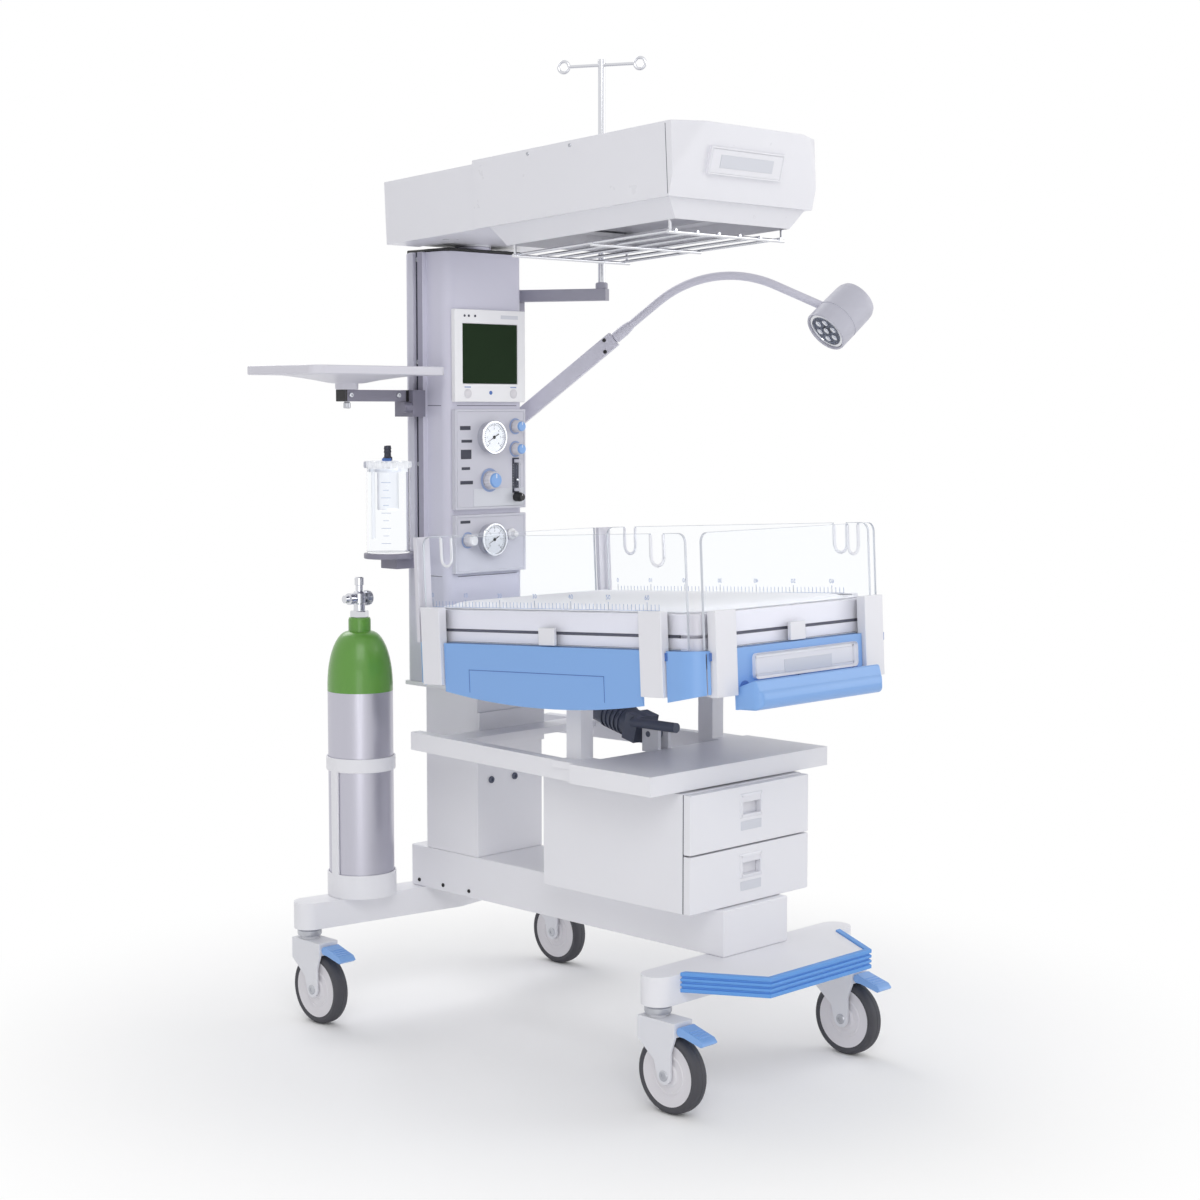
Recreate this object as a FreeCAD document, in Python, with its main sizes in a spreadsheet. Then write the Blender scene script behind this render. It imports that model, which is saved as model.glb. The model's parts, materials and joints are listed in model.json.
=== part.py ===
import FreeCAD, Part
import math
import os
import re
from types import SimpleNamespace

from FreeCAD import Placement, Rotation, Vector

# Infant resuscitation warmer: a column on a wheeled base carries a tilting bed with folding
# clear sides, a swivelling heater hood, gas and suction modules, a lamp, a drip pole and a tray.
# Millimetres, Z up, front towards -Y, origin on the floor under the beam.

SIZES = {
    # fits
    "running_gap": 0.05,
    "seat_gap": 0.3,
    "face_gap": 1.5,
    # casters
    "wheel_radius": 75,
    "tyre_width": 34,
    "tyre_depth": 14,
    "tyre_round": 8,
    "axle_radius": 6,
    "hub_radius": 23.5,
    "hub_recess": 2,
    "wheel_side_gap": 2,
    "wheel_top_gap": 5,
    "fork_wall": 6,
    "fork_top": 178,
    "fork_back": 30,
    "fork_front": 64,
    "fork_end_radius": 17,
    "fork_brow": 46,
    "fork_cheek": 8,
    "fork_heel": 44,
    "fork_heel_rise": 26,
    "caster_trail": 37,
    "stem_radius": 11,
    "stem_length": 40,
    "collar_radius": 19,
    "pedal_width": 40,
    "pedal_reach": 132,
    "pedal_knuckle": 9,
    "pedal_height": 163,
    "pedal_tip_drop": 14,
    "pedal_tip": 8,
    "pedal_chin": 5,
    # base
    "front_track": 524,
    "rear_track": 708,
    "front_axle_y": -472,
    "rear_axle_y": 462,
    "rear_sweep": 56,
    "leg_bottom": 200,
    "leg_top": 257,
    "leg_width": 66,
    "beam_width": 190,
    "beam_top": 348,
    "beam_front": -487,
    "beam_rear": 430,
    "beam_wall": 6,
    "platform_front": -640,
    "platform_front_width": 288,
    "platform_rear_width": 448,
    "platform_thickness": 20,
    "bumper_thickness": 12,
    "bumper_depth": 38,
    "bumper_groove": 4,
    "bumper_rise": 3,
    # cabinet
    "cabinet_width": 350,
    "cabinet_front": -472,
    "cabinet_rear": -73,
    "cabinet_top": 580,
    "cabinet_wall": 10,
    "drawer_face": 18,
    "drawer_split": 462,
    "drawer_side_gap": 3,
    "drawer_wall": 5,
    "runner_width": 10,
    "runner_height": 5,
    "pull_width": 60,
    "pull_height": 42,
    "pull_depth": 13,
    "pull_drop": 38,
    # columns
    "lower_column_front": 212,
    "lower_column_rear": 378,
    "lower_column_top": 703,
    "column_plate": 10,
    "column_width": 220,
    "column_front": 281,
    "column_rear": 430,
    "column_top": 1634,
    "column_round": 24,
    "column_wall": 4,
    "rail_y": 372,
    "rail_width": 46,
    "rail_depth": 12,
    "rail_slot": 14,
    "rail_bottom": 900,
    "turntable_radius": 40,
    "turntable_height": 14,
    "hood_pivot_y": 325,
    # bed support
    "support_top": 622,
    "support_depth": 38,
    "support_front": -450,
    "support_plate_rear": -235,
    "support_width": 522,
    "rail_rear_width": 410,
    "support_rail": 26,
    "support_sheet": 4,
    "support_nose": 30,
    "cheek_reach": 16,
    "cheek_rise": 14,
    "cheek_root": 8,
    "cheek_floor": 6,
    "support_rail_rear": 300,
    "yoke_depth": 70,
    "yoke_thickness": 14,
    "post_x": 192,
    "post_width": 34,
    "post_depth": 40,
    "post_rise": 22,
    # bed
    "pivot_y": -195,
    "pivot_z": 760,
    "pivot_radius": 8,
    "bed_tilt": 3.0,
    "base_width": 516,
    "base_length": 754,
    "side_overhang": 32,
    "base_round": 14,
    "base_bottom": 40,
    "base_top": 109,
    "base_plate": 8,
    "base_wall": 6,
    "lug_thickness": 9,
    "pivot_lug_width": 48,
    "pivot_lug_drop": 18,
    "pivot_end_gap": 4,
    "rod_lug_width": 28,
    "rod_lug_drop": 12,
    "skirt_top": 87,
    "skirt_inset": 8,
    "skirt_wall": 5,
    "skirt_end": 9,
    "skirt_middle": -33,
    "skirt_round": 55,
    "tray_shadow": 6,
    "tray_recess": 10,
    "tray_floor": 4,
    "tray_top": 153,
    "tray_wall": 10,
    "mattress_gap": 4,
    "mattress_rise": 8,
    "mattress_crown": 5,
    "mattress_draw": 7,
    "mattress_round": 40,
    # sides of the bed
    "panel_thickness": 5,
    "panel_bottom": 89,
    "panel_top": 301,
    "side_panel_inset": 15,
    "front_panel_inset": 4,
    "panel_round": 18,
    "notch_width": 34,
    "notch_depth": 58,
    "side_notch_inset": 70,
    "front_notch_inset": 66,
    "arm_width": 57,
    "arm_thickness": 20,
    "arm_bottom": 2,
    "arm_top": 159,
    "root_lift": 4,
    "arm_slot_gap": 3,
    "rear_arm_inset": 51,
    "fore_arm_inset": 91,
    "front_arm_inset": 40,
    "hinge_inset": 24,
    "hinge_height": 14,
    "hinge_radius": 4,
    "hinge_boss": 8,
    "hinge_pin": 7,
    "lug_root": 14,
    "lug_rise": 14,
    "lug_drop": 10,
    "slot_margin": 2,
    "clip_width": 44,
    "clip_height": 34,
    "clip_thickness": 8,
    "ledge_reach": 58,
    "ledge_top": 2,
    "ledge_bottom": -26,
    "ledge_lip": 12,
    "ledge_wall": 6,
    "corner_post_depth": 10,
    "corner_post_root": 12,
    # actuator
    "actuator_y": -215,
    "actuator_z": 652,
    "actuator_rise": 14,
    "motor_radius": 29,
    "motor_start": 24,
    "motor_length": 150,
    "gear_width": 62,
    "gear_height": 54,
    "tube_radius": 10,
    "tube_length": 120,
    "rod_radius": 9,
    "rod_length": 272,
    "rod_overlap": 60,
    "eye_radius": 18,
    "eye_width": 18,
    "tongue_radius": 14,
    "gear_length": 34,
    "fin_start": 52,
    "fin_pitch": 12,
    "fin_width": 5,
    "fin_height": 3,
    "tube_setback": 8,
    "rod_stop": 12,
    "eye_clearance": 5,
    "eye_pin": 5,
    "actuator_pin": 6,
    # hood
    "hood_tilt": 3.2,
    "hood_width": 414,
    "hood_rear": 45,
    "hood_front": 808,
    "hood_height": 136,
    "hood_lean": 40,
    "hood_corner": 67,
    "hood_corner_depth": 28,
    "hood_wall": 3,
    "hood_step": 6,
    "hood_shoulder": 238,
    "hub_headroom": 20,
    "shade_top_width": 396,
    "shade_bottom_width": 330,
    "shade_depth": 36,
    "shade_rear": 270,
    "shade_front": 760,
    "shade_taper": 16,
    "reflector_radius": 90,
    "reflector_sheet": 2,
    "reflector_end_gap": 24,
    "heater_radius": 7,
    "heater_drop": 60,
    "heater_margin": 40,
    "hanger_radius": 4,
    "hanger_inset": 12,
    "guard_wire": 3,
    "guard_rail": 3.6,
    "guard_drop": 22,
    "guard_side_gap": 14,
    "guard_end_gap": 34,
    "guard_leg_inset": 4,
    "guard_bars": 6,
    # modules
    "panel_depth": 12,
    "module_width": 204,
    "controller_bottom": 1317,
    "controller_top": 1513,
    "screen_width": 158,
    "screen_bottom": 1356,
    "screen_top": 1483,
    "screen_inset": 5,
    "gas_bottom": 1088,
    "gas_top": 1302,
    "suction_bottom": 952,
    "suction_top": 1077,
    "gauge_x": -6,
    "gauge_radius": 36,
    "gauge_depth": 20,
    "gas_gauge_z": 1242,
    "suction_gauge_z": 1023,
    "knob_x": 72,
    "knob_radius": 13,
    "knob_depth": 22,
    "spindle_radius": 4,
    "air_knob_z": 1265,
    "oxygen_knob_z": 1216,
    "mixer_x": -4,
    "mixer_z": 1150,
    "mixer_radius": 19,
    "flow_tube_radius": 7,
    "flow_tube_bottom": 1128,
    "flow_tube_top": 1190,
    "flow_knob_z": 1112,
    "flow_knob_radius": 10,
    "suction_knob_x": -68,
    # drip stand
    "stand_x": 150,
    "stand_z": 1551,
    "arm_section": 26,
    "stand_reach": 217,
    "stand_angle": -64,
    "stand_pin": 8,
    "pin_end_gap": 4,
    "clamp_reach": 20,
    "pole_seat": 6,
    "pole_radius": 8,
    "pole_top": 2056,
    "hook_span": 150,
    "hook_radius": 3.5,
    "hook_drop": 12,
    "hook_ring": 12,
    # lamp
    "lamp_z": 1264,
    "lamp_angle": -60,
    "lamp_elbow": 225,
    "lamp_elbow_rise": 179,
    "lamp_arm_height": 34,
    "lamp_arm_thickness": 14,
    "neck_radius": 9,
    "lamp_hub_radius": 18,
    "lamp_hub_height": 40,
    "neck_plug": 22,
    "neck_rise": 125,
    "neck_bend_radius": 250,
    "neck_fall": 24,
    "neck_tip": 115,
    "lamp_head_radius": 49,
    "lamp_head_length": 118,
    "lamp_head_seat": 5,
    "lamp_head_heading": 167,
    "lamp_head_tip": 40,
    "lens_rim": 5,
    "lens_inset": 4,
    # side tray
    "shelf_x": -310,
    "shelf_width": 350,
    "shelf_length": 244,
    "shelf_z": 1372,
    "shelf_depth": 18,
    "shelf_wall": 5,
    "shelf_round": 26,
    "shelf_pin": 8,
    "shelf_arm_z": 1330,
    "shelf_boss_radius": 24,
    "shelf_boss_rise": 12,
    "tray_bar_width": 32,
    "tray_bar_height": 24,
    "tray_knob_radius": 11,
    "tray_knob_length": 20,
    "clamp_depth": 34,
    "clamp_width": 60,
    "clamp_height": 56,
    # jar
    "jar_x": -202,
    "jar_radius": 46,
    "jar_wall": 2.5,
    "jar_bottom": 998,
    "jar_height": 180,
    "lid_overhang": 5,
    "lid_height": 16,
    "lid_plug": 8,
    "stub_radius": 5,
    "stub_collar": 8,
    "stub_height": 44,
    "stub_spread": 15,
    "holder_height": 34,
    "holder_width": 52,
    "holder_rim": 6,
    # oxygen cylinder
    "bottle_x": -226,
    "bottle_radius": 70,
    "bottle_foot": 6,
    "bottle_shoulder": 715,
    "bottle_neck": 868,
    "neck_bottle_radius": 24,
    "bottle_collar": 40,
    "valve_top": 944,
    "valve_radius": 14,
    "outlet_reach": 42,
    "outlet_rise": 30,
    "crown_height": 14,
    "cup_wall": 4,
    "cup_height": 52,
    "ring_z": 530,
    "ring_height": 30,
    "strap_width": 22,
}

doc = FreeCAD.newDocument("infant_warmer")
sheet = doc.addObject("Spreadsheet::Sheet", "Sizes")
for row, (alias, number) in enumerate(SIZES.items(), start=1):
    sheet.set(f"A{row}", alias)
    sheet.set(f"B{row}", str(number))
    sheet.setAlias(f"B{row}", alias)
doc.recompute()
S = SimpleNamespace(**{alias: float(sheet.get(alias)) for alias in SIZES})

ALIASES = re.compile(r"\b(" + "|".join(SIZES) + r")\b")
X_AXIS = Vector(1, 0, 0)
Y_AXIS = Vector(0, 1, 0)
Z_AXIS = Vector(0, 0, 1)
TURN_X = Rotation(Y_AXIS, 90)
TURN_Y = Rotation(X_AXIS, -90)
sub_parts = []


def bind(thing, **formulas):
    """Tie properties of a document object to formulas over the sheet's names."""
    for name, text in formulas.items():
        thing.setExpression(name.replace("__", "."), ALIASES.sub(r"Sizes.\1", text))
    return thing


def seat(thing, x, y, z):
    return bind(thing, Placement__Base__x=x, Placement__Base__y=y, Placement__Base__z=z)


def box(x, y, z, name="Block"):
    """A block between pairs of formulas along each axis."""
    block = doc.addObject("Part::Box", name)
    bind(
        block,
        Length=f"({x[1]}) - ({x[0]})",
        Width=f"({y[1]}) - ({y[0]})",
        Height=f"({z[1]}) - ({z[0]})",
    )
    return seat(block, x[0], y[0], z[0])


def round_bar(radius, start, length, turn=None, name="Bar"):
    """A cylinder from a start point along Z, or along X or Y when turned."""
    bar = doc.addObject("Part::Cylinder", name)
    if turn is not None:
        bar.Placement = Placement(Vector(), turn)
    bind(bar, Radius=radius, Height=length)
    return seat(bar, *start)


def cut(base, *tools, name="Cut"):
    result = doc.addObject("Part::Cut", name)
    result.Base = base
    result.Tool = tools[0] if len(tools) == 1 else fuse(*tools)
    return result


def fuse(*shapes, name="Union"):
    result = doc.addObject("Part::MultiFuse", name)
    result.Shapes = list(shapes)
    return result


def compound(*shapes, name="Group"):
    result = doc.addObject("Part::Compound", name)
    result.Links = list(shapes)
    return result


def solid(shape, name="Form"):
    feature = doc.addObject("Part::Feature", name)
    feature.Shape = shape
    return feature


def sub_part(label, thing, placement=None):
    """Name a finished piece and put it in its place."""
    if placement is not None:
        thing.Placement = placement
    thing.Label = label
    sub_parts.append(thing)
    return thing


def padded(name, role, corners, length):
    """A body padded both ways from a polygon drawn on one of its own planes."""
    body = doc.addObject("PartDesign::Body", name)
    sketch = body.newObject("Sketcher::SketchObject", name + "_outline")
    plane = next(item for item in body.Origin.OriginFeatures if item.Role == role)
    sketch.AttachmentSupport = [(plane, "")]
    sketch.MapMode = "FlatFace"
    points = [Vector(u, v, 0) for u, v in corners]
    for first, second in zip(points, points[1:] + points[:1]):
        sketch.addGeometry(Part.LineSegment(first, second), False)
    pad = body.newObject("PartDesign::Pad", name + "_pad")
    pad.Profile = sketch
    pad.Midplane = True
    bind(pad, Length=length)
    return body


def prism(corners, along):
    """A straight prism from a closed polygon."""
    return Part.Face(Part.makePolygon(corners + corners[:1])).extrude(along)


def block_shape(x, y, z):
    return Part.makeBox(x[1] - x[0], y[1] - y[0], z[1] - z[0], Vector(x[0], y[0], z[0]))


def rod_shape(radius, start, end):
    way = end - start
    return Part.makeCylinder(radius, way.Length, start, way)


def rounded_wire(half_x, half_y, radius, height):
    """A rectangle with quarter-round corners, level, centred on the Z axis."""
    edges = []
    inner_x = half_x - radius
    inner_y = half_y - radius
    quarters = ((1, 1, 0), (-1, 1, 90), (-1, -1, 180), (1, -1, 270))
    corners = [(sign_x * inner_x, sign_y * inner_y, start) for sign_x, sign_y, start in quarters]
    for index, (x, y, start) in enumerate(corners):
        arc = []
        for angle in (start, start + 45, start + 90):
            turn = math.radians(angle)
            arc.append(Vector(x + radius * math.cos(turn), y + radius * math.sin(turn), height))
        edges.append(Part.Arc(*arc).toShape())
        following = corners[(index + 1) % 4]
        turn = math.radians(following[2])
        ahead = Vector(following[0] + radius * math.cos(turn), following[1] + radius * math.sin(turn), height)
        edges.append(Part.LineSegment(arc[2], ahead).toShape())
    return Part.Wire(edges)


def rounded_block(half_x, half_y, radius, bottom, top):
    return Part.Face(rounded_wire(half_x, half_y, radius, bottom)).extrude(Vector(0, 0, top - bottom))


def revolved(points, axis, start=Vector(0, 0, 0)):
    return Part.Face(Part.makePolygon(points + points[:1])).revolve(start, axis, 360)


# Casters

def fork_outline():
    """Side view of a fork: distance ahead of the swivel axis along -Y, and height."""
    trail = S.caster_trail
    end = S.fork_end_radius
    chin = S.pedal_height - S.pedal_tip_drop
    points = [(-S.fork_back, S.fork_top), (S.fork_front, S.fork_top), (S.fork_front, chin)]
    points += [(trail + end, S.wheel_radius + S.fork_brow), (trail + end, S.wheel_radius + S.fork_cheek)]
    for step in range(7):
        angle = math.radians(-30 * step)
        points.append((trail + end * math.cos(angle), S.wheel_radius + end * math.sin(angle)))
    heel = (trail - end - S.fork_cheek, S.wheel_radius + S.fork_heel_rise)
    points += [heel, (-S.fork_back, S.fork_top - S.fork_heel)]
    return points


def tyre_shape():
    half = S.tyre_width / 2
    inner = S.wheel_radius - S.tyre_depth
    shoulder = S.wheel_radius - S.tyre_round
    side = half - S.tyre_round
    slant = S.tyre_round * (1 - math.sqrt(0.5))
    edges = [
        Part.LineSegment(Vector(-half, 0, inner), Vector(-half, 0, shoulder)),
        Part.Arc(
            Vector(-half, 0, shoulder),
            Vector(-half + slant, 0, S.wheel_radius - slant),
            Vector(-side, 0, S.wheel_radius),
        ),
        Part.LineSegment(Vector(-side, 0, S.wheel_radius), Vector(side, 0, S.wheel_radius)),
        Part.Arc(
            Vector(side, 0, S.wheel_radius),
            Vector(half - slant, 0, S.wheel_radius - slant),
            Vector(half, 0, shoulder),
        ),
        Part.LineSegment(Vector(half, 0, shoulder), Vector(half, 0, inner)),
        Part.LineSegment(Vector(half, 0, inner), Vector(-half, 0, inner)),
    ]
    profile = Part.Wire([edge.toShape() for edge in edges])
    return Part.Face(profile).revolve(Vector(0, 0, 0), X_AXIS, 360)


def pedal_outline():
    front = S.pedal_reach
    height = S.pedal_height
    back = S.fork_front + S.pedal_knuckle + S.seat_gap
    return [
        (back, height + S.pedal_knuckle),
        (front - S.pedal_tip, height + S.pedal_knuckle - S.pedal_tip_drop),
        (front, height - S.pedal_tip_drop),
        (front - S.pedal_tip, height - S.pedal_tip_drop - S.pedal_chin),
        (back + S.pedal_knuckle, height - S.pedal_knuckle),
        (back, height - S.pedal_knuckle),
    ]


def caster(mark, x, y):
    """Fork, wheel and pedal of one caster, its swivel axis at x, y."""
    spot = Placement(Vector(x, y, 0), Rotation())
    inside = "tyre_width + 2*wheel_side_gap"
    outline = [(-u, v) for u, v in fork_outline()]
    body = padded(f"fork_body_{mark}", "YZ_Plane", outline, f"{inside} + 2*fork_wall")
    well = round_bar(
        "wheel_radius + wheel_top_gap",
        ("-tyre_width/2 - wheel_side_gap", "-caster_trail", "wheel_radius"),
        inside,
        TURN_X,
    )
    axle = round_bar(
        "axle_radius",
        ("-tyre_width/2 - wheel_side_gap - fork_wall", "-caster_trail", "wheel_radius"),
        f"{inside} + 2*fork_wall",
        TURN_X,
    )
    collar_height = "leg_bottom - fork_top + fork_wall"
    collar = round_bar("collar_radius", ("0", "0", "fork_top - fork_wall"), collar_height)
    stem = round_bar("stem_radius", ("0", "0", "fork_top"), "leg_bottom - fork_top + stem_length")
    sub_part(f"caster_fork_{mark}", fuse(cut(body, well), axle, collar, stem), spot)

    half = S.tyre_width / 2
    side = half - S.hub_recess
    disc = Part.makeCylinder(S.wheel_radius - S.tyre_depth, 2 * side, Vector(-side, 0, 0), X_AXIS)
    boss = Part.makeCylinder(S.hub_radius, S.tyre_width, Vector(-half, 0, 0), X_AXIS)
    bore = Part.makeCylinder(S.axle_radius + S.running_gap, S.tyre_width, Vector(-half, 0, 0), X_AXIS)
    wheel = Part.makeCompound([disc.fuse(boss).cut(bore).removeSplitter(), tyre_shape()])
    sub_part(
        f"wheel_{mark}",
        solid(wheel),
        Placement(Vector(x, y - S.caster_trail, S.wheel_radius), Rotation()),
    )

    lever = padded(f"pedal_body_{mark}", "YZ_Plane", [(-u, v) for u, v in pedal_outline()], "pedal_width")
    knuckle = round_bar(
        "pedal_knuckle",
        ("-pedal_width/2", "-fork_front - pedal_knuckle - seat_gap", "pedal_height"),
        "pedal_width",
        TURN_X,
    )
    sub_part(f"pedal_{mark}", fuse(lever, knuckle), spot)


CASTERS = {
    "fl": (-S.front_track / 2, S.front_axle_y),
    "fr": (S.front_track / 2, S.front_axle_y),
    "rl": (-S.rear_track / 2, S.rear_axle_y),
    "rr": (S.rear_track / 2, S.rear_axle_y),
}
for mark, (x, y) in CASTERS.items():
    caster(mark, x, y)


def stem_bores(marks):
    bores = []
    for mark in marks:
        x, y = CASTERS[mark]
        bore = Part.makeCylinder(S.stem_radius + S.running_gap, S.stem_length, Vector(x, y, S.leg_bottom))
        bores.append(bore)
    return bores


# Base

beam_outside = box(
    ("-beam_width/2", "beam_width/2"), ("beam_front", "beam_rear"), ("leg_top", "beam_top")
)
beam_inside = box(
    ("beam_wall - beam_width/2", "beam_width/2 - beam_wall"),
    ("beam_front + beam_wall", "beam_rear - beam_wall"),
    ("leg_top", "beam_top - beam_wall"),
)
sub_part("center_beam", cut(beam_outside, beam_inside))


def rear_bar():
    """Swept rear bar with a round boss over each caster."""
    half = S.rear_track / 2
    width = S.leg_width / 2
    middle = S.rear_axle_y - S.rear_sweep
    back = S.rear_axle_y
    corners = [
        Vector(-half, back - width, S.leg_bottom),
        Vector(0, middle - width, S.leg_bottom),
        Vector(half, back - width, S.leg_bottom),
        Vector(half, back + width, S.leg_bottom),
        Vector(0, middle + width, S.leg_bottom),
        Vector(-half, back + width, S.leg_bottom),
    ]
    rise = S.leg_top - S.leg_bottom
    bar = prism(corners, Vector(0, 0, rise))
    ends = [Part.makeCylinder(width, rise, Vector(x, back, S.leg_bottom)) for x in (-half, half)]
    return bar.multiFuse(ends).removeSplitter().cut(stem_bores(("rl", "rr")))


sub_part("rear_legs", solid(rear_bar()))

PLATFORM_REAR = S.front_axle_y - S.leg_width / 2
PLATFORM_SLOPE = (S.platform_rear_width - S.platform_front_width) / 2 / (PLATFORM_REAR - S.platform_front)


def platform_corners(grow, height):
    """Plan of the foot plate, spread evenly past its slanted sides and front."""
    spread = grow * math.sqrt(1 + PLATFORM_SLOPE ** 2)
    front = S.platform_front - grow
    rear_half = S.platform_rear_width / 2 + spread
    front_half = rear_half - PLATFORM_SLOPE * (PLATFORM_REAR - front)
    return [
        Vector(-rear_half, PLATFORM_REAR, height),
        Vector(-front_half, front, height),
        Vector(front_half, front, height),
        Vector(rear_half, PLATFORM_REAR, height),
    ]


def front_platform():
    half = S.front_track / 2
    width = S.leg_width / 2
    rise = S.leg_top - S.leg_bottom
    y = S.front_axle_y
    bar = block_shape((-half, half), (y - width, y + width), (S.leg_bottom, S.leg_top))
    ends = [Part.makeCylinder(width, rise, Vector(x, y, S.leg_bottom)) for x in (-half, half)]
    plate = prism(platform_corners(0, S.leg_top - S.platform_thickness), Vector(0, 0, S.platform_thickness))
    return bar.multiFuse(ends + [plate]).removeSplitter().cut(stem_bores(("fl", "fr")))


def platform_bumper():
    """Ribbed rubber edge with three grooves along it."""
    top = S.leg_top + S.bumper_rise
    bottom = top - S.bumper_depth
    rise = Vector(0, 0, S.bumper_depth)
    band = prism(platform_corners(S.bumper_thickness, bottom), rise)
    band = band.cut(prism(platform_corners(0, bottom), rise))
    pitch = S.bumper_depth / 4
    for index in (1, 2, 3):
        low = bottom + index * pitch - S.bumper_groove / 2
        along = Vector(0, 0, S.bumper_groove)
        outer = prism(platform_corners(S.bumper_thickness + S.bumper_groove, low), along)
        core = prism(platform_corners(S.bumper_thickness - S.bumper_groove, low), along)
        band = band.cut(outer.cut(core))
    return band


sub_part("front_platform", solid(front_platform()))
sub_part("platform_bumper", solid(platform_bumper()))

# Cabinet

SHELL_FRONT = "cabinet_front + drawer_face + face_gap"
cabinet_outside = box(
    ("-cabinet_width/2", "cabinet_width/2"), (SHELL_FRONT, "cabinet_rear"), ("beam_top", "cabinet_top")
)
cabinet_inside = box(
    ("cabinet_wall - cabinet_width/2", "cabinet_width/2 - cabinet_wall"),
    (SHELL_FRONT, "cabinet_rear - cabinet_wall"),
    ("beam_top + cabinet_wall", "cabinet_top - cabinet_wall"),
)
UPPER_FLOOR = "drawer_split + 2*drawer_side_gap"
RUNNER_Z = (f"{UPPER_FLOOR} - seat_gap - runner_height", f"{UPPER_FLOOR} - seat_gap")
runners = [
    box(span, (SHELL_FRONT, "cabinet_rear"), RUNNER_Z)
    for span in (
        ("-cabinet_width/2", "cabinet_wall + runner_width - cabinet_width/2"),
        ("cabinet_width/2 - cabinet_wall - runner_width", "cabinet_width/2"),
    )
]
sub_part("cabinet_shell", fuse(cut(cabinet_outside, cabinet_inside), *runners))


def drawer(label, bottom, top, floor, rim):
    """Face with a cup pull in front of an open box."""
    half = "cabinet_width/2 - cabinet_wall - drawer_side_gap"
    face = box(
        ("-cabinet_width/2", "cabinet_width/2"),
        ("cabinet_front", "cabinet_front + drawer_face"),
        (bottom, top),
    )
    body = box(
        (f"-({half})", half),
        ("cabinet_front + drawer_face", "cabinet_rear - cabinet_wall - drawer_side_gap"),
        (floor, rim),
    )
    hollow = box(
        (f"drawer_wall - ({half})", f"{half} - drawer_wall"),
        ("cabinet_front + drawer_face", "cabinet_rear - cabinet_wall - drawer_side_gap - drawer_wall"),
        (f"{floor} + drawer_wall", f"{rim} + drawer_wall"),
    )
    pull = box(
        ("-pull_width/2", "pull_width/2"),
        ("cabinet_front", "cabinet_front + pull_depth"),
        (f"{top} - pull_drop - pull_height/2", f"{top} - pull_drop + pull_height/2"),
    )
    sub_part(label, cut(fuse(face, body), hollow, pull))


drawer(
    "drawer_upper",
    "drawer_split + face_gap",
    "cabinet_top - face_gap",
    UPPER_FLOOR,
    "cabinet_top - cabinet_wall - 2*drawer_side_gap",
)
drawer(
    "drawer_lower",
    "beam_top + face_gap",
    "drawer_split - face_gap",
    "beam_top + cabinet_wall + seat_gap",
    "drawer_split - 4*drawer_side_gap",
)

# Columns

lower_outside = box(
    ("-beam_width/2", "beam_width/2"),
    ("lower_column_front", "lower_column_rear"),
    ("beam_top", "lower_column_top"),
)
lower_inside = box(
    ("column_wall - beam_width/2", "beam_width/2 - column_wall"),
    ("lower_column_front + column_wall", "lower_column_rear - column_wall"),
    ("beam_top", "lower_column_top"),
)
lower_plate = box(
    ("-column_width/2", "column_width/2"),
    ("lower_column_front", "column_rear"),
    ("lower_column_top", "lower_column_top + column_plate"),
)
sub_part("lower_column", fuse(cut(lower_outside, lower_inside), lower_plate))

COLUMN_FOOT = S.lower_column_top + S.column_plate
COLUMN_MIDDLE = (S.column_front + S.column_rear) / 2
HOOD_BASE = S.column_top + S.turntable_height


def upper_column():
    half_x = S.column_width / 2
    half_y = (S.column_rear - S.column_front) / 2
    shell = rounded_block(half_x, half_y, S.column_round, COLUMN_FOOT, S.column_top)
    wall = S.column_wall
    ceiling = S.column_top - 2 * wall
    hollow = rounded_block(half_x - wall, half_y - wall, S.column_round - wall, COLUMN_FOOT, ceiling)
    tube = shell.cut(hollow)
    tube.translate(Vector(0, COLUMN_MIDDLE, 0))
    centre = Vector(0, S.hood_pivot_y, S.column_top)
    ring = Part.makeCylinder(S.turntable_radius, S.turntable_height, centre)
    pin = Part.makeCylinder(S.turntable_radius / 2, 2 * S.turntable_height, centre)
    return tube.multiFuse([ring, pin]).removeSplitter()


def rail(side):
    """Slotted rail on one side of the upper column."""
    low, high = sorted((side * S.column_width / 2, side * (S.column_width / 2 + S.rail_depth)))
    y = S.rail_y
    bar = block_shape(
        (low, high), (y - S.rail_width / 2, y + S.rail_width / 2), (S.rail_bottom, S.column_top)
    )
    face = side * (S.column_width / 2 + S.rail_depth)
    near, far = sorted((face, face - side * S.rail_depth * 0.7))
    slot = block_shape(
        (near, far), (y - S.rail_slot / 2, y + S.rail_slot / 2), (S.rail_bottom, S.column_top)
    )
    return bar.cut(slot)


sub_part("upper_column", solid(upper_column().multiFuse([rail(-1), rail(1)]).removeSplitter()))

RAIL_FACE = S.column_width / 2 + S.rail_depth

# Bed support

ACTUATOR = Vector(0, S.actuator_y, S.actuator_z)


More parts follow.
